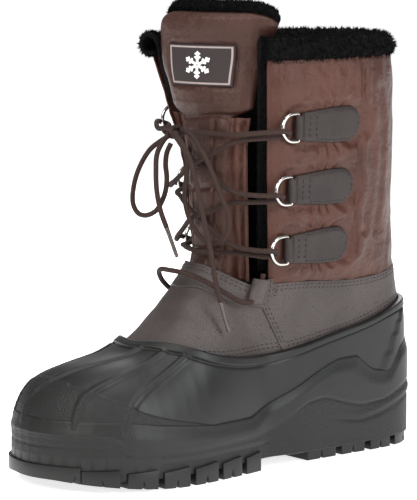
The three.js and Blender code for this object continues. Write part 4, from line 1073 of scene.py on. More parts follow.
# The vamp dents where the foot bends, just in front of the throat.
flex = -0.9 * np.exp(-(((surface[..., 2] - 111) / 4.5) ** 2)) * (1 - smooth_step(np.abs(surface[..., 0]),
    12, 34))
skin = leather_panel("vamp", surface, normal, flex, ["vamp"], 0.35, 1.7)
for inset in (9.6, 12.4):
    seams.append(trimmed(seam_at(skin, normal, "low", inset), 0.03, 0.97))
band_rows = [
    both([(42, 24, 111), (38, 5, 113.5), (37, -7, 117.5), (31, -23, 124), (17, -34, 131), (0, -39, 130)]),
    both([(43.5, 26, 125), (40, 9, 126), (34, -4, 131), (22, -17, 139), (10, -22, 143), (0, -24, 144)]),
]
surface, normal = panel_grid(band_rows, 130, 22)
band_top = np.linspace(0, 1, 22)[:, None]
band_lift = 0.85 + 0.9 * np.sin(np.pi * band_top) ** 2 * 0.5 + 0 * surface[..., 0]
skin = leather_panel("throat_band", surface, normal, band_lift, ["throat_band"], 0.2, 4.2)
for inset in (1.8, 4.4):
    seams.append(trimmed(seam_at(skin, normal, "high", inset), 0.04, 0.96))
SEAM = [(41, 14, 129), (45, 39, 129), (44, 86, 126), (40, 117, 127), (30, 134, 130), (HEEL_GAP, 142, 132)]
quarter_rows = [
    lapped([(45.5, 27, 83), (47, 70, 89), (44, 105, 95), (36, 135, 103), (HEEL_GAP, 150, 107)]),
    [(38.5, 8.5, 114), (44, 45, 112), (42, 95, 112), (30, 136, 114), (HEEL_GAP, 146, 116)],
    SEAM,
]
for side, carry in (("lateral", list), ("medial", medial)):
    surface, normal = panel_grid([carry(row) for row in quarter_rows], 110, 44)
    skin = leather_panel("quarter_" + side, surface, normal, np.full(surface.shape[:2], 0.75),
        ["quarter_" + side], 0.3, 8.8)
    for inset in (1.9, 4.5):
        seams.append(trimmed(seam_at(skin, normal, "left", inset), 0.2, 0.965))
        seams.append(trimmed(seam_at(skin, normal, "high", inset), 0.03, 0.995))
        seams.append(trimmed(seam_at(skin, normal, "low", inset + 7.8), 0.03, 0.995))
leather_thread = joined([stitches(path, way) for path, way in seams])
build("leather_stitching", leather_thread[0], leather_thread[1], thread)


# ---- Nylon of the shaft: one quilted wrap up to the fleece, puckered by its tabs ----

FRONT_LATERAL = math.radians(136.5)
FRONT_MEDIAL = math.radians(-139)
SHAFT_HEIGHT = 286
NYLON = 1.2
WADDING = 3.8
SEAT = 0.5
FUR = 5.2
seam_height = smooth_keys([(p[1], p[2]) for p in SEAM][:-1] + [(142, 132)])
RINGS = [
    {"level": 1, "z": 239, "lateral": 27, "medial": 10},
    {"level": 2, "z": 195, "lateral": 23, "medial": 20},
    {"level": 3, "z": 153, "lateral": 22, "medial": 24},
]


def on_leg(angle, z, out=0.0):
    """Points of the leg, moved out, and their normals; angles run from the back over the lateral side."""
    angle, z = np.broadcast_arrays(np.asarray(angle, float), np.asarray(z, float))
    r = leg_radius(angle.ravel(), z.ravel()).reshape(angle.shape)
    surface, normal = on_last(np.stack([r * np.sin(angle), LEG_AXIS + r * np.cos(angle), z], axis=-1))
    return surface + normal * np.asarray(out)[..., None], normal


def seam_foot(angle):
    r = leg_radius(angle, np.full(angle.shape, 131.0))
    return seam_height(LEG_AXIS + r * np.cos(angle))


nylon = new_material("shaft_nylon", (0.11, 0.06, 0.045), 0.42, Specular_IOR_Level=0.34,
    Specular_Tint=(1, 0.8, 0.72, 1))
tree = nylon.node_tree
place = object_place(tree)
cloud = place_group(tree, clouds, Place=place, Size=26.0, Fine=1600.0)
threads = place_group(tree, weave, Threads=2.1)
base = mixed(tree, ramp(tree, cloud.outputs["Patch"], 0.3, 0.72), (0.056, 0.0185, 0.0125),
    (0.102, 0.038, 0.026))
# Painted shade: the colour darkens where the weave's threads sink; the cloudy patches are the nylon's own
# uneven tone.
feed(tree, mixed(tree, threads.outputs["Height"], (0.030, 0.011, 0.008), base), "Base Color")
feed(tree, sums(tree, "ADD", sums(tree, "MULTIPLY", cloud.outputs["Patch"], 0.2), 0.26), "Roughness")
crinkle = node(tree, "ShaderNodeTexNoise", None, Vector=place, Scale=170.0, Detail=5.0, Roughness=0.62)
bumped(tree, sums(tree, "ADD", sums(tree, "MULTIPLY", crinkle.outputs["Fac"], 4.2),
                  sums(tree, "MULTIPLY", threads.outputs["Height"], 0.16)), 0.55, 0.0006)

WRAP, TALL = 400, 220
wrap_angle = np.linspace(FRONT_LATERAL, FRONT_MEDIAL, WRAP)
wrap_foot = seam_foot(wrap_angle) + 0.35
wrap_share = np.linspace(0, 1, TALL)[:, None]
wrap_z = wrap_foot + (SHAFT_HEIGHT - wrap_foot) * wrap_share
bare, normal = on_leg(np.broadcast_to(wrap_angle, wrap_z.shape), wrap_z)
from_foot = wrap_z - wrap_foot
from_rim = SHAFT_HEIGHT - wrap_z
from_front = np.minimum(
    np.linalg.norm(bare - bare[:, :1], axis=2), np.linalg.norm(bare - bare[:, -1:], axis=2)
)
puff = np.full(wrap_z.shape, 0.15)
# The wadding fills the wrap between its seams.
puff += 1.5 * smooth_step(from_foot, 0, 20) * smooth_step(from_rim, 0, 16) * smooth_step(from_front, 0, 14)
puff -= 0.9 * np.exp(-((from_rim / 2.2) ** 2)) + 0.5 * np.exp(-((from_front / 1.8) ** 2))
run_round = np.concatenate([np.zeros((TALL, 1)), np.cumsum(np.linalg.norm(np.diff(bare, axis=1), axis=2),
    axis=1)], axis=1)
ripple = clouded(np.dstack([run_round, np.zeros_like(run_round), wrap_z * 0.25]), 9, 2.2)
puff += 0.75 * ripple * np.exp(-from_foot / 9) + 0.55 * ripple * np.exp(-from_rim / 7)
front_ripple = clouded(np.dstack([run_round * 0.3, np.full_like(run_round, 3.0), wrap_z]), 11, 6.0)
puff += 0.8 * front_ripple * np.exp(-from_front / 10)
puff += 0.8 * clouded(bare * (1, 1, 0.7), 24, 1.1) + 0.34 * clouded(bare * (1, 1, 0.6), 8, 5.0)
# Long slack folds run down the sides, and one sharp crease behind the tabs on each.
for line, depth, wide in (
    ([(55, 89, 290), (54, 88, 283), (52, 87, 250), (51, 86, 219), (48, 86, 185), (45, 88, 147)], 2.1, 2.4),
    ([(-55, 84, 290), (-52, 82, 250), (-49, 80, 219), (-44, 82, 147)], 1.3, 2.6),
    ([(52, 108, 262), (46, 112, 226), (42, 112, 190), (40, 110, 160)], 0.8, 3.5),
    ([(56, 72, 278), (53, 66, 258), (52, 58, 222)], 0.7, 3.2),
    ([(51, 60, 178), (50, 66, 168), (46, 96, 160)], 0.8, 3.2),
    ([(20, 138, 270), (18, 136, 220), (16, 134, 170)], 0.7, 4.0),
    ([(-22, 136, 266), (-20, 134, 210), (-18, 132, 160)], 0.7, 4.0),
):
    away = near_line(bare, on_last(even_spline(line, 4))[0])
    puff -= depth * np.exp(-((away / wide) ** 2)) - depth * 0.55 * np.exp(
        -(((away - 2.1 * wide) / (1.3 * wide)) ** 2))
# Each tab is sewn down: the nylon sinks under it and rises in creases that run out from its stitching.
for ring in RINGS:
    for side, s in (("lateral", 1), ("medial", -1)):
        spine = np.array([[s * 60, ring[side] + 5 + k, ring["z"]] for k in (0, 18, 36, 50)], float)
        spine = on_last(spine)[0]
        away = near_line(bare, spine)
        puff -= (puff - 0.1) * (1 - smooth_step(away, 12.5, 19))
        turn = np.arctan2(bare[..., 2] - ring["z"], bare[..., 1] - ring[side] - 30)
        puff += 0.85 * np.sin(turn * 13 + ring["z"]) * np.exp(-(((away - 16) / 4.5) ** 2)) * (0.4 + 0.6
            * np.abs(np.sin(turn)))
        puff += 0.7 * np.exp(-(((away - 19) / 5) ** 2))
puff = np.clip(puff, -0.6, 3.4)
outer = bare + normal * puff[..., None]
inner = bare + normal * (puff - NYLON)[..., None]
wrap_points, wrap_faces, wrap_uv = sheet_solid(outer, inner)
wrap = build("shaft_nylon", wrap_points, wrap_faces, nylon, uv=wrap_uv,
    replaced=["shaft_nylon"])
shaft_seams = [trimmed(seam_at(outer, normal, "high", 3.0), 0.01, 0.99)]
for edge in ("left", "right"):
    shaft_seams.append(trimmed(seam_at(outer, normal, edge, 2.6), 0.01, 0.99))
shaft_thread = joined([stitches(path, way, 3.2, 1.9, 0.5, -0.1) for path, way in shaft_seams])
build("shaft_stitching", shaft_thread[0], shaft_thread[1], thread)


# ---- Fleece: black pile that lines the boot and rolls over its top edge ----

fleece = new_material("black_fleece", (0.006, 0.006, 0.007), 0.95, Specular_IOR_Level=0.08)
tree = fleece.node_tree
place = object_place(tree)
cloud = place_group(tree, clouds, Place=place, Size=160.0, Fine=1500.0)
curl = node(tree, "ShaderNodeTexVoronoi", {"feature": "SMOOTH_F1"}, Vector=place, Scale=420.0,
    Smoothness=0.7).outputs["Distance"]
feed(tree, mixed(tree, ramp(tree, cloud.outputs["Speckle"], 0.35, 0.75), (0.0015, 0.0015, 0.002),
    (0.010, 0.0098, 0.010)), "Base Color")
bumped(tree, sums(tree, "ADD", curl, cloud.outputs["Speckle"]), 0.9, 0.0012)


def piled(surface, normal, depth, seed):
    """Heights of curled pile over a grid: rounded clumps with shorter hair between."""
    clump = clouded(surface, 5.2, seed)
    fine = clouded(surface, 2.3, seed + 9, 1)
    return depth * (0.55 * np.abs(clump) + 0.35 * fine)


def tufts(surface, normal, count, length, seed, lean=0.6):
    """Short curved hairs in small bunches, scattered over a grid of points."""
    draw = np.random.default_rng(seed)
    rows, cols = surface.shape[:2]
    points, faces = [], []
    j = draw.integers(0, rows - 1, count)
    i = draw.integers(0, cols - 1, count)
    share = draw.random((count, 2, 1))
    at = surface[j, i] + share[:, 0] * (surface[j + 1, i] - surface[j, i]) + share[:, 1] * (
        surface[j, i + 1] - surface[j, i])
    up = normal[j, i]
    side = np.cross(up, draw.normal(size=(count, 3)))
    side /= np.linalg.norm(side, axis=1)[:, None]
    bend = np.cross(up, side)
    tall = length * (0.45 + 0.75 * draw.random(count))[:, None]
    slant = lean * draw.normal(size=(count, 1))
    wide = 0.34 + 0.22 * draw.random((count, 1))
    foot_at = at - up * 0.6
    mid = at + up * tall * 0.55 + bend * slant * tall * 0.35
    tip = at + up * tall + bend * slant * tall
    base = [foot_at + wide * (math.cos(a) * side + math.sin(a) * bend) for a in (0, 2.094, 4.189)]
    waist = [mid + 0.6 * wide * (math.cos(a) * side + math.sin(a) * bend) for a in (0, 2.094, 4.189)]
    made = np.stack(base + waist + [tip], axis=1).reshape(-1, 3)
    start = np.arange(count) * 7
    for k in range(3):
        after = (k + 1) % 3
        faces += np.column_stack([start + k, start + after, start + 3 + after, start + 3 + k]).tolist()
        faces += np.column_stack([start + 3 + k, start + 3 + after, start + 6]).tolist()
    faces += np.column_stack([start + 2, start + 1, start]).tolist()
    return made, [tuple(f) for f in faces], None


FRONT_LAP = 0.07
fur_outer = -NYLON - WADDING - 2 * SEAT
fur_inner = fur_outer - FUR
rim = SHAFT_HEIGHT + 1
# Its section from the outside of the wrap, over the top and down inside the leg.
section = even_spline(np.array([
    (fur_outer, rim - 2.5), (0.2, rim - 0.6), (2.3, rim + 2.2), (2.4, rim + 6), (0.6, rim + 10.2),
    (-3.2, rim + 12.6),
    (fur_outer - 1, rim + 12.6), (fur_inner, rim + 9), (fur_inner - 1.2, rim + 1), (fur_inner, rim - 12),
    (fur_inner, 255), (fur_inner, 220), (fur_inner, 180), (fur_inner, 137),
]), 5)
LINING_COLUMNS = 300
lining_angle = np.linspace(FRONT_LATERAL + FRONT_LAP, FRONT_MEDIAL - FRONT_LAP, LINING_COLUMNS)
section = along_line(section, np.concatenate([np.linspace(0, 0.28, 46), np.linspace(0.285, 1, 60)]))
grid_angle = np.broadcast_to(lining_angle, (len(section), LINING_COLUMNS))
grid_z = np.broadcast_to(section[:, 1:2], grid_angle.shape)
skin, way = on_leg(grid_angle, grid_z, np.broadcast_to(section[:, :1], grid_angle.shape))
ahead = np.gradient(skin, axis=0)
across = np.gradient(skin, axis=1)
way = np.cross(ahead, across)
way /= np.maximum(np.linalg.norm(way, axis=2), 1e-6)[..., None]
if way[20, :, 2].mean() < 0:
    way = -way
top_lift = 1.4 * clouded(np.dstack([grid_angle * 40, grid_z * 0, grid_z * 0]), 16, 4.4) * smooth_step(
    grid_z, rim + 2, rim + 9)
pile = piled(skin, way, 2.3, 3.3)
hairy = skin + way * (pile + top_lift)[..., None]
backing = skin - way * 2.4
lining_points, lining_faces, lining_uv = sheet_solid(hairy, backing, rim=0.5)
collar_zone = slice(2, 52)
hair = tufts(hairy[collar_zone], way[collar_zone], 9500, 2.3, 11)
inside_hair = tufts(hairy[52:-1], way[52:-1], 3500, 2.2, 12)
front_hair = tufts(hairy[:, :5], way[:, :5], 900, 2.2, 13)
back_hair = tufts(hairy[:, -5:], way[:, -5:], 900, 2.2, 14)
lining = joined([(lining_points, lining_faces, lining_uv), hair, inside_hair, front_hair, back_hair])
lining_piece = build("shaft_lining", lining[0], lining[1], fleece, replaced=["shaft_lining"])


# ---- Tongue: a padded nylon front in one piece with the flap above the fold, and its fleece back ----

FOLD = 249
TONGUE_TOP = 318
CORNER_DROP = 11
CORNER_SHARE = 0.45
tongue_centre = smooth_keys([(140, 0), (200, -1), (262, -3.5), (280, -5), (292, -5), (314, 2)])
tongue_half = smooth_keys([(140, 27), (165, 28), (200, 31), (225, 34), (262, 37), (280, 39), (292, 40),
    (314, 46)])
tongue_front = smooth_keys([(140, -17), (152, -14), (165, -13), (262, -13), (290, -12), (318, -14)])
tongue_slope = smooth_keys([(225, 0), (262, 9), (290, 17), (318, 18)])
tongue_bow = smooth_keys([(140, 16), (165, 12), (225, 10), (262, 12), (318, 14)])


def on_tongue(w, z, behind=0.0):
    """Points of the tongue: w from the medial (-1) to the lateral edge (1), and a depth behind its face."""
    w, z, behind = np.broadcast_arrays(np.asarray(w, float), np.asarray(z, float),
        np.asarray(behind, float))

    def at(share):
        return (tongue_centre(z) + tongue_half(z) * share,
                tongue_front(z) + tongue_slope(z) * share + tongue_bow(z) * share * share)

    x, y = at(w)
    (ax, ay), (bx, by) = at(w - 0.02), at(w + 0.02)
    size = np.hypot(bx - ax, by - ay)
    return np.stack([x - (by - ay) / size * behind, y + (bx - ax) / size * behind, z], axis=-1)


def grid_normal(grid, towards):
    way = np.cross(np.gradient(grid, axis=1), np.gradient(grid, axis=0))
    way /= np.maximum(np.linalg.norm(way, axis=2), 1e-6)[..., None]
    middle = way[way.shape[0] // 2, way.shape[1] // 2]
    return way if middle @ np.asarray(towards, float) > 0 else -way


def corner_fall(w):
    past = np.clip(np.abs(w) - 1 + CORNER_SHARE, 0, None) / CORNER_SHARE
    return CORNER_DROP * (1 - np.sqrt(np.clip(1 - past**2, 0, 1)))


tongue_nylon = nylon.copy()
tongue_nylon.name = "tongue_nylon"
for mix in [n for n in tongue_nylon.node_tree.nodes if n.bl_idname == "ShaderNodeMix"]:
    for at in (6, 7):
        if not mix.inputs[at].is_linked:
            r, g, b, a = mix.inputs[at].default_value
            mix.inputs[at].default_value = (r * 0.68, g * 0.75, b * 0.82, a)
ACROSS, UP = 160, 280
w_grid = np.broadcast_to(np.linspace(-1, 1, ACROSS), (UP, ACROSS))
share = np.linspace(0, 1, UP)[:, None]
z_grid = 122 + (TONGUE_TOP - corner_fall(w_grid) - 122) * share
edge_w = 0.7 + 0.3 * smooth_step(z_grid, FOLD - 5, FOLD + 3)
w_at = w_grid * edge_w
flat_face = on_tongue(w_at, z_grid)
from_side = (1 - np.abs(w_grid)) * edge_w * tongue_half(z_grid)
from_top = TONGUE_TOP - corner_fall(w_grid) - z_grid
lift = 1.3 * smooth_step(from_side, 0, 9) * smooth_step(from_top, 0, 9)
# Quilting seams cross the tongue, and the flap's foot is stitched down over it.
seam_curve = 1.4 * np.sin(w_grid * 2.4)
for seam_z, depth in ((FOLD - 4, 1.9), (195, 1.7), (152, 1.2)):
    lift -= depth * np.exp(-(((z_grid - seam_z - seam_curve) / 1.9) ** 2))
for seam_w in (-0.36, 0.36):
    below = 1 - smooth_step(z_grid, FOLD - 8, FOLD - 5)
    lift -= 1.2 * np.exp(-(((w_at - seam_w) * tongue_half(z_grid) / 1.6) ** 2)) * below
lift += 1.6 * smooth_step(z_grid, FOLD - 2, FOLD + 6) * smooth_step(from_top, 2, 14) * smooth_step(
    from_side, 0, 12)
label_near = smooth_step(np.abs((w_at * tongue_half(z_grid)) ), 22, 27) + smooth_step(np.abs(z_grid - 281),
    13, 18)
lift -= np.clip(lift - 0.9, 0, 9) * (1 - np.clip(label_near, 0, 1)) * (z_grid > FOLD)
rough_place = np.stack([w_at * tongue_half(z_grid), z_grid * 0.45, np.zeros_like(z_grid)], axis=-1)
lift += 0.7 * clouded(rough_place, 10, 3.0) * (0.35 + np.exp(-from_side / 8) + 0.6
    * np.exp(-np.abs(z_grid - FOLD + 4) / 8))
lift += 0.5 * clouded(flat_face, 17, 9.0)
lift = np.clip(lift, -1.4, 3.6)
# The edges roll back round the wadding.
roll = 5.6 * (1 - np.sqrt(np.clip(1 - (1 - np.clip(from_side / 4.6, 0, 1)) ** 2, 0, 1)))
roll += 4.6 * (1 - np.sqrt(np.clip(1 - (1 - np.clip(from_top / 4.6, 0, 1)) ** 2, 0, 1)))
cover = on_tongue(w_at, z_grid, np.clip(roll, 0, 6.4) - lift)
cover_way = grid_normal(cover, (0, -1, 0))
cover_points, cover_faces, cover_uv = sheet_solid(cover, cover - cover_way * 1.1)
tongue_cover = build("tongue_cover", cover_points, cover_faces, tongue_nylon, body=None,
    uv=cover_uv,
                     replaced=["tongue_face", "flap_face"])
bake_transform(tongue_cover)


def cover_line(w_values, z_values):
    """Points on the cover's face at shares of its width and heights, with the normals there."""
    rows = np.interp(np.asarray(z_values, float), z_grid[:, ACROSS // 2], np.arange(UP)).round().astype(int)
    cols = np.interp(np.asarray(w_values, float), w_grid[0], np.arange(ACROSS)).round().astype(int)
    return cover[rows, cols], cover_way[rows, cols]


low_seams, high_seams = [], []
spread = np.linspace(-0.9, 0.9, 60)
low_seams.append(cover_line(spread, 195 + 1.4 * np.sin(spread * 2.4)))
low_seams.append(cover_line(np.full(60, -0.51), np.linspace(160, 240, 60)))
low_seams.append(cover_line(np.full(60, 0.51), np.linspace(160, 240, 60)))
high_seams.append(cover_line(np.linspace(-0.95, 0.95, 80), np.full(80, FOLD + 6.5)))
low_thread = joined([stitches(path, way, 3.4, 2.0, 0.6, -0.1) for path, way in low_seams])
build("tongue_stitching", low_thread[0], low_thread[1], thread)
high_thread = joined([stitches(path, way, 3.4, 2.0, 0.6, -0.1) for path, way in high_seams])
build("flap_stitching", high_thread[0], high_thread[1], thread, body="tongue_flap")

# The fleece behind it stands a little above the flap's top edge.
fur_w = np.broadcast_to(np.linspace(-0.97, 0.97, 130), (230, 130))
fur_share = np.linspace(0, 1, 230)[:, None]
fur_z = 143 + (TONGUE_TOP + 5.5 - corner_fall(fur_w) - 143) * fur_share
fur_edge = 0.68 + 0.3 * smooth_step(fur_z, FOLD - 4, FOLD + 4)
fur_face = on_tongue(fur_w * fur_edge, fur_z, 6.6)
fur_back = on_tongue(fur_w * fur_edge, fur_z, 11.6)
face_way, back_way = grid_normal(fur_face, (0, -1, 0)), grid_normal(fur_back, (0, 1, 0))
fur_face = fur_face + face_way * (0.6 * piled(fur_face, face_way, 1.6, 6.1))[..., None]
fur_back = fur_back + back_way * piled(fur_back, back_way, 2.0, 8.2)[..., None]
tongue_fur = sheet_solid(fur_back, fur_face, rim=0.5)
above = slice(-14, -1)
peak = on_tongue(fur_w[-1:] * fur_edge[-1:], fur_z[-1:] + 1.2 * np.linspace(0, 1, 5)[:, None],
    np.linspace(6.4, 11.8, 5)[:, None])
peak_way = np.zeros_like(peak) + np.array([0, 0.15, 1.0])
side_lines = []
for end in (0, -1):
    column = on_tongue((fur_w * fur_edge)[:, end : end + 1 or None], fur_z[:, end : end + 1 or None],
        np.array([7.0, 9.0, 11.5])[None, :])
    side_way = np.zeros_like(column) + np.array([1.0 if end else -1.0, 0.2, 0.1])
    side_lines.append(tufts(column[120:], side_way[120:], 900, 2.0, 41 + end))
hair = [tufts(peak, peak_way, 2200, 2.6, 21), tufts(fur_back, back_way, 2600, 2.0, 22),
    tufts(fur_face[above], face_way[above], 900, 2.2, 23)]
tongue_fleece = joined([tongue_fur] + hair + side_lines)
tongue_fleece = build("tongue_fleece", tongue_fleece[0], tongue_fleece[1], fleece, body=None,
                      replaced=["tongue_lining", "flap_lining"])
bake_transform(tongue_fleece)


# ---- Gussets: thin folded nylon between the tongue's edges and the shaft's front edges ----

gusset_nylon = nylon.copy()
gusset_nylon.name = "gusset_nylon"
for side, s, turn in (("lateral", 1, FRONT_LATERAL), ("medial", -1, FRONT_MEDIAL)):
    z = np.linspace(128, 245, 120)[:, None]
    across = np.linspace(0, 1, 46)[None, :]
    near = on_tongue(np.full((120, 1), s * 0.64), z, 1.8)
    fold = on_tongue(np.full((120, 1), float(s)), z, 1.5)
    far = on_leg(np.full((120, 1), turn + s * 0.2), z, -4.5 + np.zeros((120, 1)))[0]
    first = near + (fold - near) * np.clip(across * 2, 0, 1)[..., None]
    body_grid = np.where((across < 0.5)[..., None], first, fold + (far - fold)
        * np.clip(across * 2 - 1, 0, 1)[..., None])
    soft_middle = np.sin(math.pi * across) ** 0.8
    pleat = 1.5 * np.sin(across * 15 + 0.035 * (z - 130) + (0.5 if s > 0 else 1.7)) * soft_middle
    wave = 1.1 * clouded(np.stack([across * 30 + 0 * z, z * 0.5 + 0 * across, 0 * z + 0 * across], axis=-1),
        9, 4.0 * s) * soft_middle
    way = grid_normal(body_grid, (0, -1, 0))
    body_grid = body_grid + way * (pleat + wave)[..., None]
    points, faces, uv = sheet_solid(body_grid + way * 0.2, body_grid - way * 0.2)
    piece = build("gusset_" + side, points, faces, gusset_nylon, uv=uv,
        replaced=["gusset_" + side])


# ---- Label: a woven patch on the flap with a raised frame and a plain six-armed snowflake ----

LABEL_WIDE, LABEL_TALL, LABEL_Z = 47, 29, 281
label_fabric = new_material("label_fabric", (0.02, 0.012, 0.012), 0.6, Specular_IOR_Level=0.4)
tree = label_fabric.node_tree
raised = node(tree, "ShaderNodeAttribute", {"attribute_name": "framed_edge"}).outputs["Fac"]
threads = place_group(tree, weave, Threads=2.6)
# Painted shade: the colour darkens where the weave's threads sink; the light frame is the label's own woven
# border.
base = mixed(tree, threads.outputs["Height"], (0.012, 0.0065, 0.0065), (0.024, 0.0135, 0.0135))
feed(tree, mixed(tree, raised, base, (0.33, 0.27, 0.26)), "Base Color")
bumped(tree, threads.outputs["Height"], 0.35, 0.0003)


def on_label(x, z, proud):
    """Points over the flap's face at x and z from the label's centre."""
    height = LABEL_Z + np.asarray(z, float)
    return on_tongue(np.asarray(x, float) / tongue_half(height), height, -np.asarray(proud, float))


lx = np.broadcast_to(np.linspace(-LABEL_WIDE / 2, LABEL_WIDE / 2, 120), (80, 120))
lz = np.broadcast_to(np.linspace(-LABEL_TALL / 2, LABEL_TALL / 2, 80)[:, None], (80, 120))
inset = np.minimum(LABEL_WIDE / 2 - np.abs(lx), LABEL_TALL / 2 - np.abs(lz))
frame_line = smooth_step(inset, 1.2, 1.6) * (1 - smooth_step(inset, 2.3, 2.7))
edge_round = 0.7 * (1 - np.clip(inset / 0.8, 0, 1)) ** 2
plate = on_label(lx, lz, 2.7 + 0.5 * frame_line - edge_round)
label_points, label_faces, label_uv = sheet_solid(plate, on_label(lx, lz, 1.0))
frame_marks = np.zeros(len(label_points))
frame_marks[: lx.size] = frame_line.ravel()
build("tongue_label", label_points, label_faces, label_fabric, body="tongue_flap",
    uv=label_uv,
      marks={"framed_edge": frame_marks}, replaced=["tongue_label"])
label_print = new_material("label_print", (0.78, 0.76, 0.74), 0.55)
tree = label_print.node_tree
grain = node(tree, "ShaderNodeTexNoise", None, Vector=object_place(tree), Scale=2400.0)
feed(tree, mixed(tree, grain.outputs["Fac"], (0.66, 0.63, 0.61), (0.86, 0.84, 0.82)), "Base Color")
bumped(tree, grain.outputs["Fac"], 0.3, 0.0002)
bars = []


def print_bar(start, end, wide):
    """A raised bar of the print between two points of the label, with rounded ends."""
    start, end = np.array(start, float), np.array(end, float)
    way = (end - start) / np.linalg.norm(end - start)
    over = np.array([-way[1], way[0]])
    along = np.linspace(0, 1, 12)[:, None, None]
    aside = np.linspace(-1, 1, 5)[None, :, None]
    full = np.sqrt(np.clip(1 - (2 * along - 1) ** 16, 0.05, 1))
    at = start + along * (end - start) + aside * over * wide / 2 * full
    return sheet_solid(on_label(at[..., 0], at[..., 1], 3.25), on_label(at[..., 0], at[..., 1], 2.55))


for k in range(6):
    turn = math.radians(90 + 60 * k)
    arm = np.array([math.cos(turn), math.sin(turn)])
    bars.append(print_bar(0.6 * arm, 9.6 * arm, 1.5))
    for reach, size in ((4.2, 2.6), (6.9, 2.2)):
        for lean in (-1, 1):
            twig = turn + lean * math.radians(52)
            bars.append(print_bar(reach * arm, reach * arm + size
                * np.array([math.cos(twig), math.sin(twig)]), 1.05))
motif = joined(bars)
build("label_motif", motif[0], motif[1], label_print, body="tongue_flap",
    replaced=["label_motif"])
label_seam = [(-22.8, -13.8), (22.8, -13.8), (22.8, 13.8), (-22.8, 13.8), (-22.8, -13.8)]
seam_xz = along_line(np.array(label_seam, float), np.linspace(0, 1, 160))
label_path = on_label(seam_xz[:, 0], seam_xz[:, 1], 2.3)
label_thread = stitches(label_path, on_label(seam_xz[:, 0], seam_xz[:, 1], 3.3) - label_path, 2.1, 1.4,
    0.45)
build("label_stitching", label_thread[0], label_thread[1], thread, body="tongue_flap")


# ---- Ring tabs: leather straps sewn to the wrap, folded round the bar of a nickel D-ring ----

RING_WIDTH, RING_DEPTH, RING_WIRE = 21.6, 17.5, 2.5
RING_TILT = math.radians(10)
TAB_LENGTH, TAB_FRONT, TAB_BACK, TAB_THICK = 58, 20, 25, 1.6
RING_HALF = (RING_WIDTH - RING_WIRE) / 2
RING_REACH = RING_DEPTH - RING_WIRE
LOOP_BORE = RING_WIRE / 2 + CLEAR
LOOP_OUT = LOOP_BORE + TAB_THICK - 0.2
BAR_HEIGHT = SEAT + LOOP_OUT
tab_leather = new_material("tab_leather", (0.05, 0.04, 0.038), 0.48, Specular_IOR_Level=0.3)
tree = tab_leather.node_tree
place = object_place(tree)
cloud = place_group(tree, clouds, Place=place, Size=40.0, Fine=1100.0)
cells = node(tree, "ShaderNodeTexVoronoi", {"feature": "DISTANCE_TO_EDGE"}, Vector=place,
    Scale=820.0).outputs["Distance"]
creases = ramp(tree, cells, 0.0, 0.12)
base = mixed(tree, ramp(tree, cloud.outputs["Patch"], 0.3, 0.7), (0.022, 0.015, 0.0135),
    (0.035, 0.0245, 0.0225))
# Painted shade: the colour darkens along the grain's crease lines, where its bump sinks.
feed(tree, mixed(tree, creases, (0.012, 0.009, 0.009), base), "Base Color")
bumped(tree, sums(tree, "ADD", creases, sums(tree, "MULTIPLY", cloud.outputs["Speckle"], 0.6)), 0.3, 0.0003)
nickel = new_material("ring_nickel", (0.56, 0.54, 0.51), 0.16, 1.0)
tree = nickel.node_tree
polish = node(tree, "ShaderNodeTexNoise", None, Vector=object_place(tree), Scale=240.0, Detail=3.0)
feed(tree, sums(tree, "ADD", sums(tree, "MULTIPLY", polish.outputs["Fac"], 0.14), 0.08), "Roughness")
bumped(tree, polish.outputs["Fac"], 0.08, 0.0002)


class RingPlace:
    """A frame at a ring's bar: forward along the wall, out from it, and up."""

    def __init__(self, side, ring):
        self.s = 1 if side == "lateral" else -1
        at, normal = on_last(np.array([[self.s * 60.0, ring[side], ring["z"]]]), 5)
        self.origin = np.array([at[0, 0], at[0, 1], ring["z"]], float)
        out = normal[0] * (1, 1, 0)
        self.out = out / np.linalg.norm(out)
        self.forward = np.array([self.out[1], -self.out[0], 0]) * self.s

    def at(self, f, o, u):
        f, o, u = np.broadcast_arrays(np.asarray(f, float), np.asarray(o, float), np.asarray(u, float))
        return self.origin + f[..., None] * self.forward + o[..., None] * self.out + u[...,
            None] * np.array([0, 0, 1.0])

    def tilted(self, f, o, u):
        f, o = np.asarray(f, float), np.asarray(o, float)
        return self.at(f * math.cos(RING_TILT) - o * math.sin(RING_TILT),
                       BAR_HEIGHT + f * math.sin(RING_TILT) + o * math.cos(RING_TILT), u)


def hoop(path, radius, sides=14):
    """A closed ring of round wire along a closed plane path."""
    count = len(path)
    way = np.roll(path, -1, axis=0) - np.roll(path, 1, axis=0)
    way /= np.linalg.norm(way, axis=1)[:, None]
    axis = np.cross(path[0] - path.mean(0), way[0])
    axis /= np.linalg.norm(axis)
    over = np.cross(way, axis)
    turn = 2 * math.pi * np.arange(sides) / sides
    points = np.vstack([path[i] + radius * (np.outer(np.cos(turn), over[i]) + np.outer(np.sin(turn), axis))
        for i in range(count)])
    faces = [(i * sides + k, i * sides + (k + 1) % sides, (i + 1) % count * sides + (k + 1) % sides,
        (i + 1) % count * sides + k)
             for i in range(count) for k in range(sides)]
    return points, faces, None


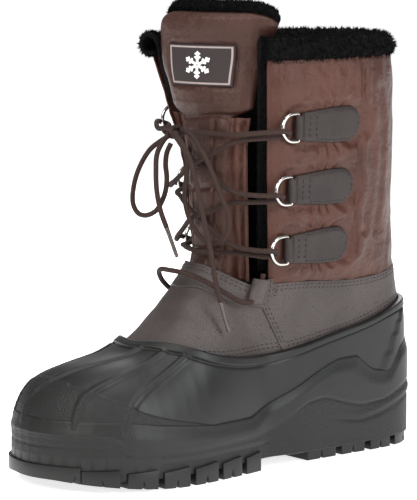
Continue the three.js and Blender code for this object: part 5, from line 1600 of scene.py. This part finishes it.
ring_places = {}
arch = [(0, -RING_HALF * 0.6), (0, 0), (0, RING_HALF * 0.6), (0.5, RING_HALF * 0.95),
    ((RING_REACH - RING_HALF) * 0.45, RING_HALF)]
arch += [(RING_REACH - RING_HALF + RING_HALF * math.sin(a), RING_HALF * math.cos(a)) for a in np.linspace(0,
    math.pi, 13)]
arch += [((RING_REACH - RING_HALF) * 0.45, -RING_HALF), (0.5, -RING_HALF * 0.95)]
arch = even_spline(arch, 6, closed=True)
TAB_BEHIND = 5.2
for side in ("lateral", "medial"):
    for ring in RINGS:
        spot = RingPlace(side, ring)
        ring_places[side, ring["level"]] = spot
        label = "%s_%d" % (side, ring["level"])
        wire = hoop(spot.tilted(arch[:, 0], np.zeros(len(arch)), arch[:, 1]), RING_WIRE / 2)
        build("d_ring_" + label, wire[0], wire[1], nickel, body="ring_" + label,
            replaced=["d_ring_" + label])
        # The strap from its round end forward, then up over the bar, round it and back under.
        reach = TAB_LENGTH - TAB_BEHIND - TAB_BACK / 2
        run = np.concatenate([np.linspace(TAB_LENGTH - TAB_BEHIND, reach, 26),
            np.linspace(reach, 0, 30)[1:]])
        half = np.where(
            run < reach,
            (TAB_FRONT + (TAB_BACK - TAB_FRONT) * np.clip(run / (reach * 0.7), 0, 1)) / 2,
            TAB_BACK / 2 * np.sqrt(np.clip(1 - ((run - reach) / (TAB_BACK / 2)) ** 2, 0.01, 1)),
        )
        aside = np.linspace(-1, 1, 27)
        u_at = aside[:, None] * half[None, :]
        flat_at, flat_way = on_last(spot.at(np.broadcast_to(-TAB_BEHIND - run, u_at.shape), 0.0, u_at))
        from_edge = np.minimum(half[None, :] - np.abs(u_at), (TAB_LENGTH - TAB_BEHIND - run)[None, :] + 0
            * u_at)
        crown = 0.5 * smooth_step(from_edge, 0, 3.4) - 0.55 * (1 - np.clip(from_edge / 0.9, 0, 1)) ** 2
        crown -= 0.22 * np.exp(-(((from_edge - 1.9) / 0.5) ** 2))
        for row in (5.0, 11.0):
            crown -= 0.3 * np.exp(-(((run[None, :] - row) / 0.6) ** 2))
        top = flat_at + flat_way * (SEAT + TAB_THICK + crown)[..., None]
        under = flat_at + flat_way * SEAT
        loop_half = 8.2
        loop_f = [-5.2, -3.2, -1.6]
        loop_o = [SEAT + 1.0, 3.6, 5.3]
        turn = np.radians(np.linspace(84, -90, 16))
        loop_f += list(2.25 * np.cos(turn)) + [-1.6, -3.2, -4.6]
        loop_o += list(BAR_HEIGHT + 2.25 * np.sin(turn)) + [1.22, 1.2, 1.2]
        spine = even_spline(np.column_stack([loop_f, loop_o]), 3)
        spine_way = np.gradient(spine, axis=0)
        spine_way /= np.linalg.norm(spine_way, axis=1)[:, None]
        out_f, out_o = -spine_way[:, 1], spine_way[:, 0]
        widths = loop_half + (TAB_FRONT / 2 - loop_half) * (1 - smooth_step(np.arange(len(spine)), 0, 8))
        u_loop = aside[:, None] * widths[None, :]
        thick = 0.66 * (1 - 0.35 * np.abs(aside[:, None]) ** 8)
        f_of, o_of = spine[:, 0][None, :], spine[:, 1][None, :]
        loop_top = spot.at(f_of + thick * out_f[None, :], o_of + thick * out_o[None, :], u_loop)
        loop_under = spot.at(f_of - thick * out_f[None, :], o_of - thick * out_o[None, :], u_loop)
        tab = joined([sheet_solid(top, under), sheet_solid(loop_top, loop_under)])
        build("ring_tab_" + label, tab[0], tab[1], tab_leather, uv=tab[2],
            replaced=["ring_tab_" + label])
        long_run = np.concatenate([np.linspace(11, reach, 60), reach + (TAB_BACK / 2 - 1.9)
            * np.sin(np.linspace(0, math.pi, 60)),
                                   np.linspace(reach, 11, 60)])
        straight = (TAB_FRONT + (TAB_BACK - TAB_FRONT) * np.clip(np.linspace(11, reach, 60) / (reach * 0.7),
            0, 1)) / 2 - 1.9
        long_u = np.concatenate([-straight, -(TAB_BACK / 2 - 1.9) * np.cos(np.linspace(0, math.pi, 60)),
            straight[::-1]])
        rows_at, rows_way = on_last(spot.at(-TAB_BEHIND - long_run, 0.0, long_u))
        lines = [(rows_at + rows_way * (SEAT + TAB_THICK + 0.35), rows_way)]
        for row in (5.0, 11.0):
            u_row = np.linspace(-TAB_FRONT / 2 + 1.9, TAB_FRONT / 2 - 1.9, 20)
            row_at, row_way = on_last(spot.at(np.full(20, -TAB_BEHIND - row), 0.0, u_row))
            lines.append((row_at + row_way * (SEAT + TAB_THICK + 0.55), row_way))
        tab_thread = joined([stitches(path, way, 3.6, 1.9, 0.9) for path, way in lines])
        build("tab_stitching_" + label, tab_thread[0], tab_thread[1], thread)


# ---- Laced lace: turns through the rings, and the run through the sleeves at the throat ----

CROSS_LOW = {1: 212, 2: 175, 3: 151}
CROSS_HIGH = {1: 234, 2: 212, 3: 175}
PASS_HEIGHT = {1: 235, 2: 190.5, 3: 151.5}
LACE_PROUD = LACE / 2 + 1.9
for (side, level), spot in ring_places.items():
    ring_z = RINGS[level - 1]["z"]
    loop = LACE / 2 + RING_WIRE / 2 + 1.2
    drop = PASS_HEIGHT[level] - ring_z
    tip = math.sqrt(RING_HALF**2 - drop**2) + RING_REACH - RING_HALF
    over = 0 if side == "lateral" else LACE + 0.5
    under = LACE + 0.5 if side == "lateral" else 0
    front = FRONT_LATERAL if side == "lateral" else FRONT_MEDIAL
    low, high = CROSS_LOW[level], CROSS_HIGH[level]

    def on_face(u, z, lift_by):
        return on_tongue(np.array([spot.s * u]), np.array([float(z)]), -(LACE_PROUD + lift_by))[0]

    def past_edge(z, lift_by):
        return on_leg(np.array([front + spot.s * (FRONT_LAP + 0.09)]), np.array([float(z)]),
            np.array([LACE / 2 + lift_by]))[0][0]

    def between(z, part):
        return z + (PASS_HEIGHT[level] - z) * part

    to_knot = (-0.13, 3.6) if side == "lateral" else (0.56, 3.6)
    points = [
        on_face(0.01, low, under), on_face(0.2, between(low, 0.15), under * 0.9),
        on_face(0.55, between(low, 0.45), under * 0.2 + 0.6), on_face(0.88, between(low, 0.75), 2.2),
        past_edge(between(low, 0.9) - 1, 1.2),
        spot.tilted(tip + 2.2, -loop * 0.97, drop - 2.2), spot.tilted(tip - 1.4, -loop * 0.93, drop - 1.5),
        spot.tilted(tip - loop, 0, drop), spot.tilted(tip - 1.4, loop * 0.93, drop + 1.5),
        spot.tilted(tip + 2.2, loop * 0.97, drop + 2.4),
        past_edge(between(high, 0.9) + 1, 5.2), on_face(0.88, between(high, 0.75), 6.4),
        on_face(0.55, between(high, 0.45), over * 0.2 + 2.6),
    ]
    if level == 1:
        points.append(on_face(to_knot[0], high, to_knot[1]))
    else:
        points += [on_face(0.2, between(high, 0.15), over * 0.9), on_face(0.01, high, over)]
    path = lace_path(points)
    label = "%s_%d" % (side, level)
    shape = tube(path, LACE / 2)
    piece = build("lace_turn_" + label, shape[0], shape[1], lace_material, body=None, uv=shape[2],
                  replaced=["lace_turn_" + label])
    framed(spot.tilted(tip + 3, 0, drop)).tolist()
    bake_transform(piece)

THROAT_RUN = both([(42.5, 7, 137), (43, 4.5, 128), (42, 1.5, 119.5), (40, -8, 118), (34, -22, 126),
    (25, -32.5, 134),
                   (13, -40, 138.5), (0, -43, 139.5)])
run_shape = tube(lace_path(THROAT_RUN), LACE / 2)
build("lace_throat_run", run_shape[0], run_shape[1], lace_material, uv=run_shape[2],
    replaced=["lace_throat_run"])
sleeve_lines = []
for side, carry in (("lateral", list), ("medial", medial)):
    rows = [carry([(40, -4, 117), (43.2, 13.5, 115.5)]), carry([(40.4, 0.5, 134), (44, 15.5, 132.5)])]
    surface, normal = panel_grid(rows, 60, 40)
    lace_line = on_last(np.array(carry([(42.5, 7, 140), (43, 4.5, 128), (42, 1.5, 119.5), (41.6, 0, 114)]),
        float))[0]
    away = near_line(surface, lace_line)
    hump = 1.5 + 6.3 * np.sqrt(np.clip(1 - (away / 6.0) ** 2, 0, 1)) + 0.5 * np.exp(-((away / 6.5) ** 2))
    skin = surface + normal * hump[..., None]
    points, faces, uv = sheet_solid(skin, surface + normal * (hump - LEATHER)[..., None])
    build("lace_sleeve_" + side, points, faces, leather, uv=uv,
        replaced=["lace_sleeve_" + side])
    sleeve_lines.append(seam_at(skin, normal, "right", 1.8))
sleeve_thread = joined([stitches(path, way, 2.9, 1.9, 0.7) for path, way in sleeve_lines])
build("sleeve_stitching", sleeve_thread[0], sleeve_thread[1], thread)


# ---- Inside the boot: the fleece bootie, the felt insole, and the parts that stay out of sight ----

INTERLINING = 2
BOOTIE = 5.2
bootie_outer = -(LEATHER + INTERLINING + CLEAR)
bootie_inner = bootie_outer - BOOTIE
SHELL_FLOOR = 22 + CLEAR + SHELL_WALL + CLEAR + 6 + CLEAR + 2 + CLEAR
THROAT = [
    (0, 142, 129), (27, 135, 129), (41, 105, 129), (45, 60, 129), (43, 20, 129), (30, -4, 131),
    (12, -15, 134),
    (0, -18, 135), (-12, -15, 134), (-30, -4, 131), (-41, 20, 129), (-43, 60, 129), (-40, 105, 129),
    (-25, 135, 129),
]
throat_line = along_line(even_spline(THROAT + THROAT[:1], 4), angles / (2 * math.pi))
bowl_foot = footprint(angles, bootie_inner)
rise = np.linspace(0, 1, 70)[:, None, None]
side_from = np.column_stack([bowl_foot, np.full(ROUND, 40.0)])
bowl_grid = side_from + rise * (throat_line - side_from)
surface, normal = on_last(bowl_grid)
inner_skin = surface + normal * (bootie_inner - 0.2 - piled(surface, normal, 1.6, 2.2))[..., None]
outer_skin = surface + normal * (bootie_outer - 0.6)
floor_inner = np.column_stack([footprint(angles, bootie_inner), np.full(ROUND, SHELL_FLOOR + 3.8)])
floor_outer = np.column_stack([footprint(angles, bootie_outer - 0.6), np.full(ROUND, SHELL_FLOOR + 0.2)])
scales = np.array([0.03, 0.5, 0.97])[:, None, None]
hub = np.array([0, 10.0, 0])
level_scales = scales * (1, 1, 0) + (0, 0, 1)
inner_rows = hub * (1 - scales) + floor_inner * level_scales
outer_rows = hub * (1 - scales) + floor_outer * level_scales
bowl_points, bowl_faces, _ = sheet_solid(
    np.concatenate([outer_rows, outer_skin]), np.concatenate([inner_rows, inner_skin]), closed=True)
bootie = build("foot_lining", bowl_points, bowl_faces, fleece, replaced=["foot_lining"])

felt = new_material("insole_felt", (0.06, 0.06, 0.063), 0.95, Specular_IOR_Level=0.1)
board = new_material("lasting_board", (0.3, 0.22, 0.14), 0.85)
foam = new_material("sole_filler_foam", (0.28, 0.27, 0.25), 0.9)
batting = new_material("wadding_fibre", (0.72, 0.70, 0.66), 0.95)
for made, dark, light, size in (
    (felt, (0.03, 0.03, 0.032), (0.09, 0.09, 0.094), 900.0),
    (board, (0.2, 0.14, 0.09), (0.36, 0.27, 0.18), 500.0),
    (foam, (0.2, 0.19, 0.18), (0.34, 0.33, 0.31), 1200.0),
    (batting, (0.6, 0.58, 0.54), (0.8, 0.78, 0.75), 700.0),
):
    tree = made.node_tree
    cloud = place_group(tree, clouds, Place=object_place(tree), Size=50.0, Fine=size)
    feed(tree, mixed(tree, cloud.outputs["Speckle"], dark, light), "Base Color")
    bumped(tree, sums(tree, "ADD", cloud.outputs["Speckle"], cloud.outputs["Patch"]), 0.5, 0.0006)
for name, made in (("insole", felt), ("lasting_board", board), ("sole_filler", foam),
    ("shaft_wadding", batting),
                   ("tongue_wadding", batting), ("flap_wadding", batting)):
    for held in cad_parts[name].material_slots:
        held.material = made
    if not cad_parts[name].material_slots:
        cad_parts[name].data.materials.append(made)
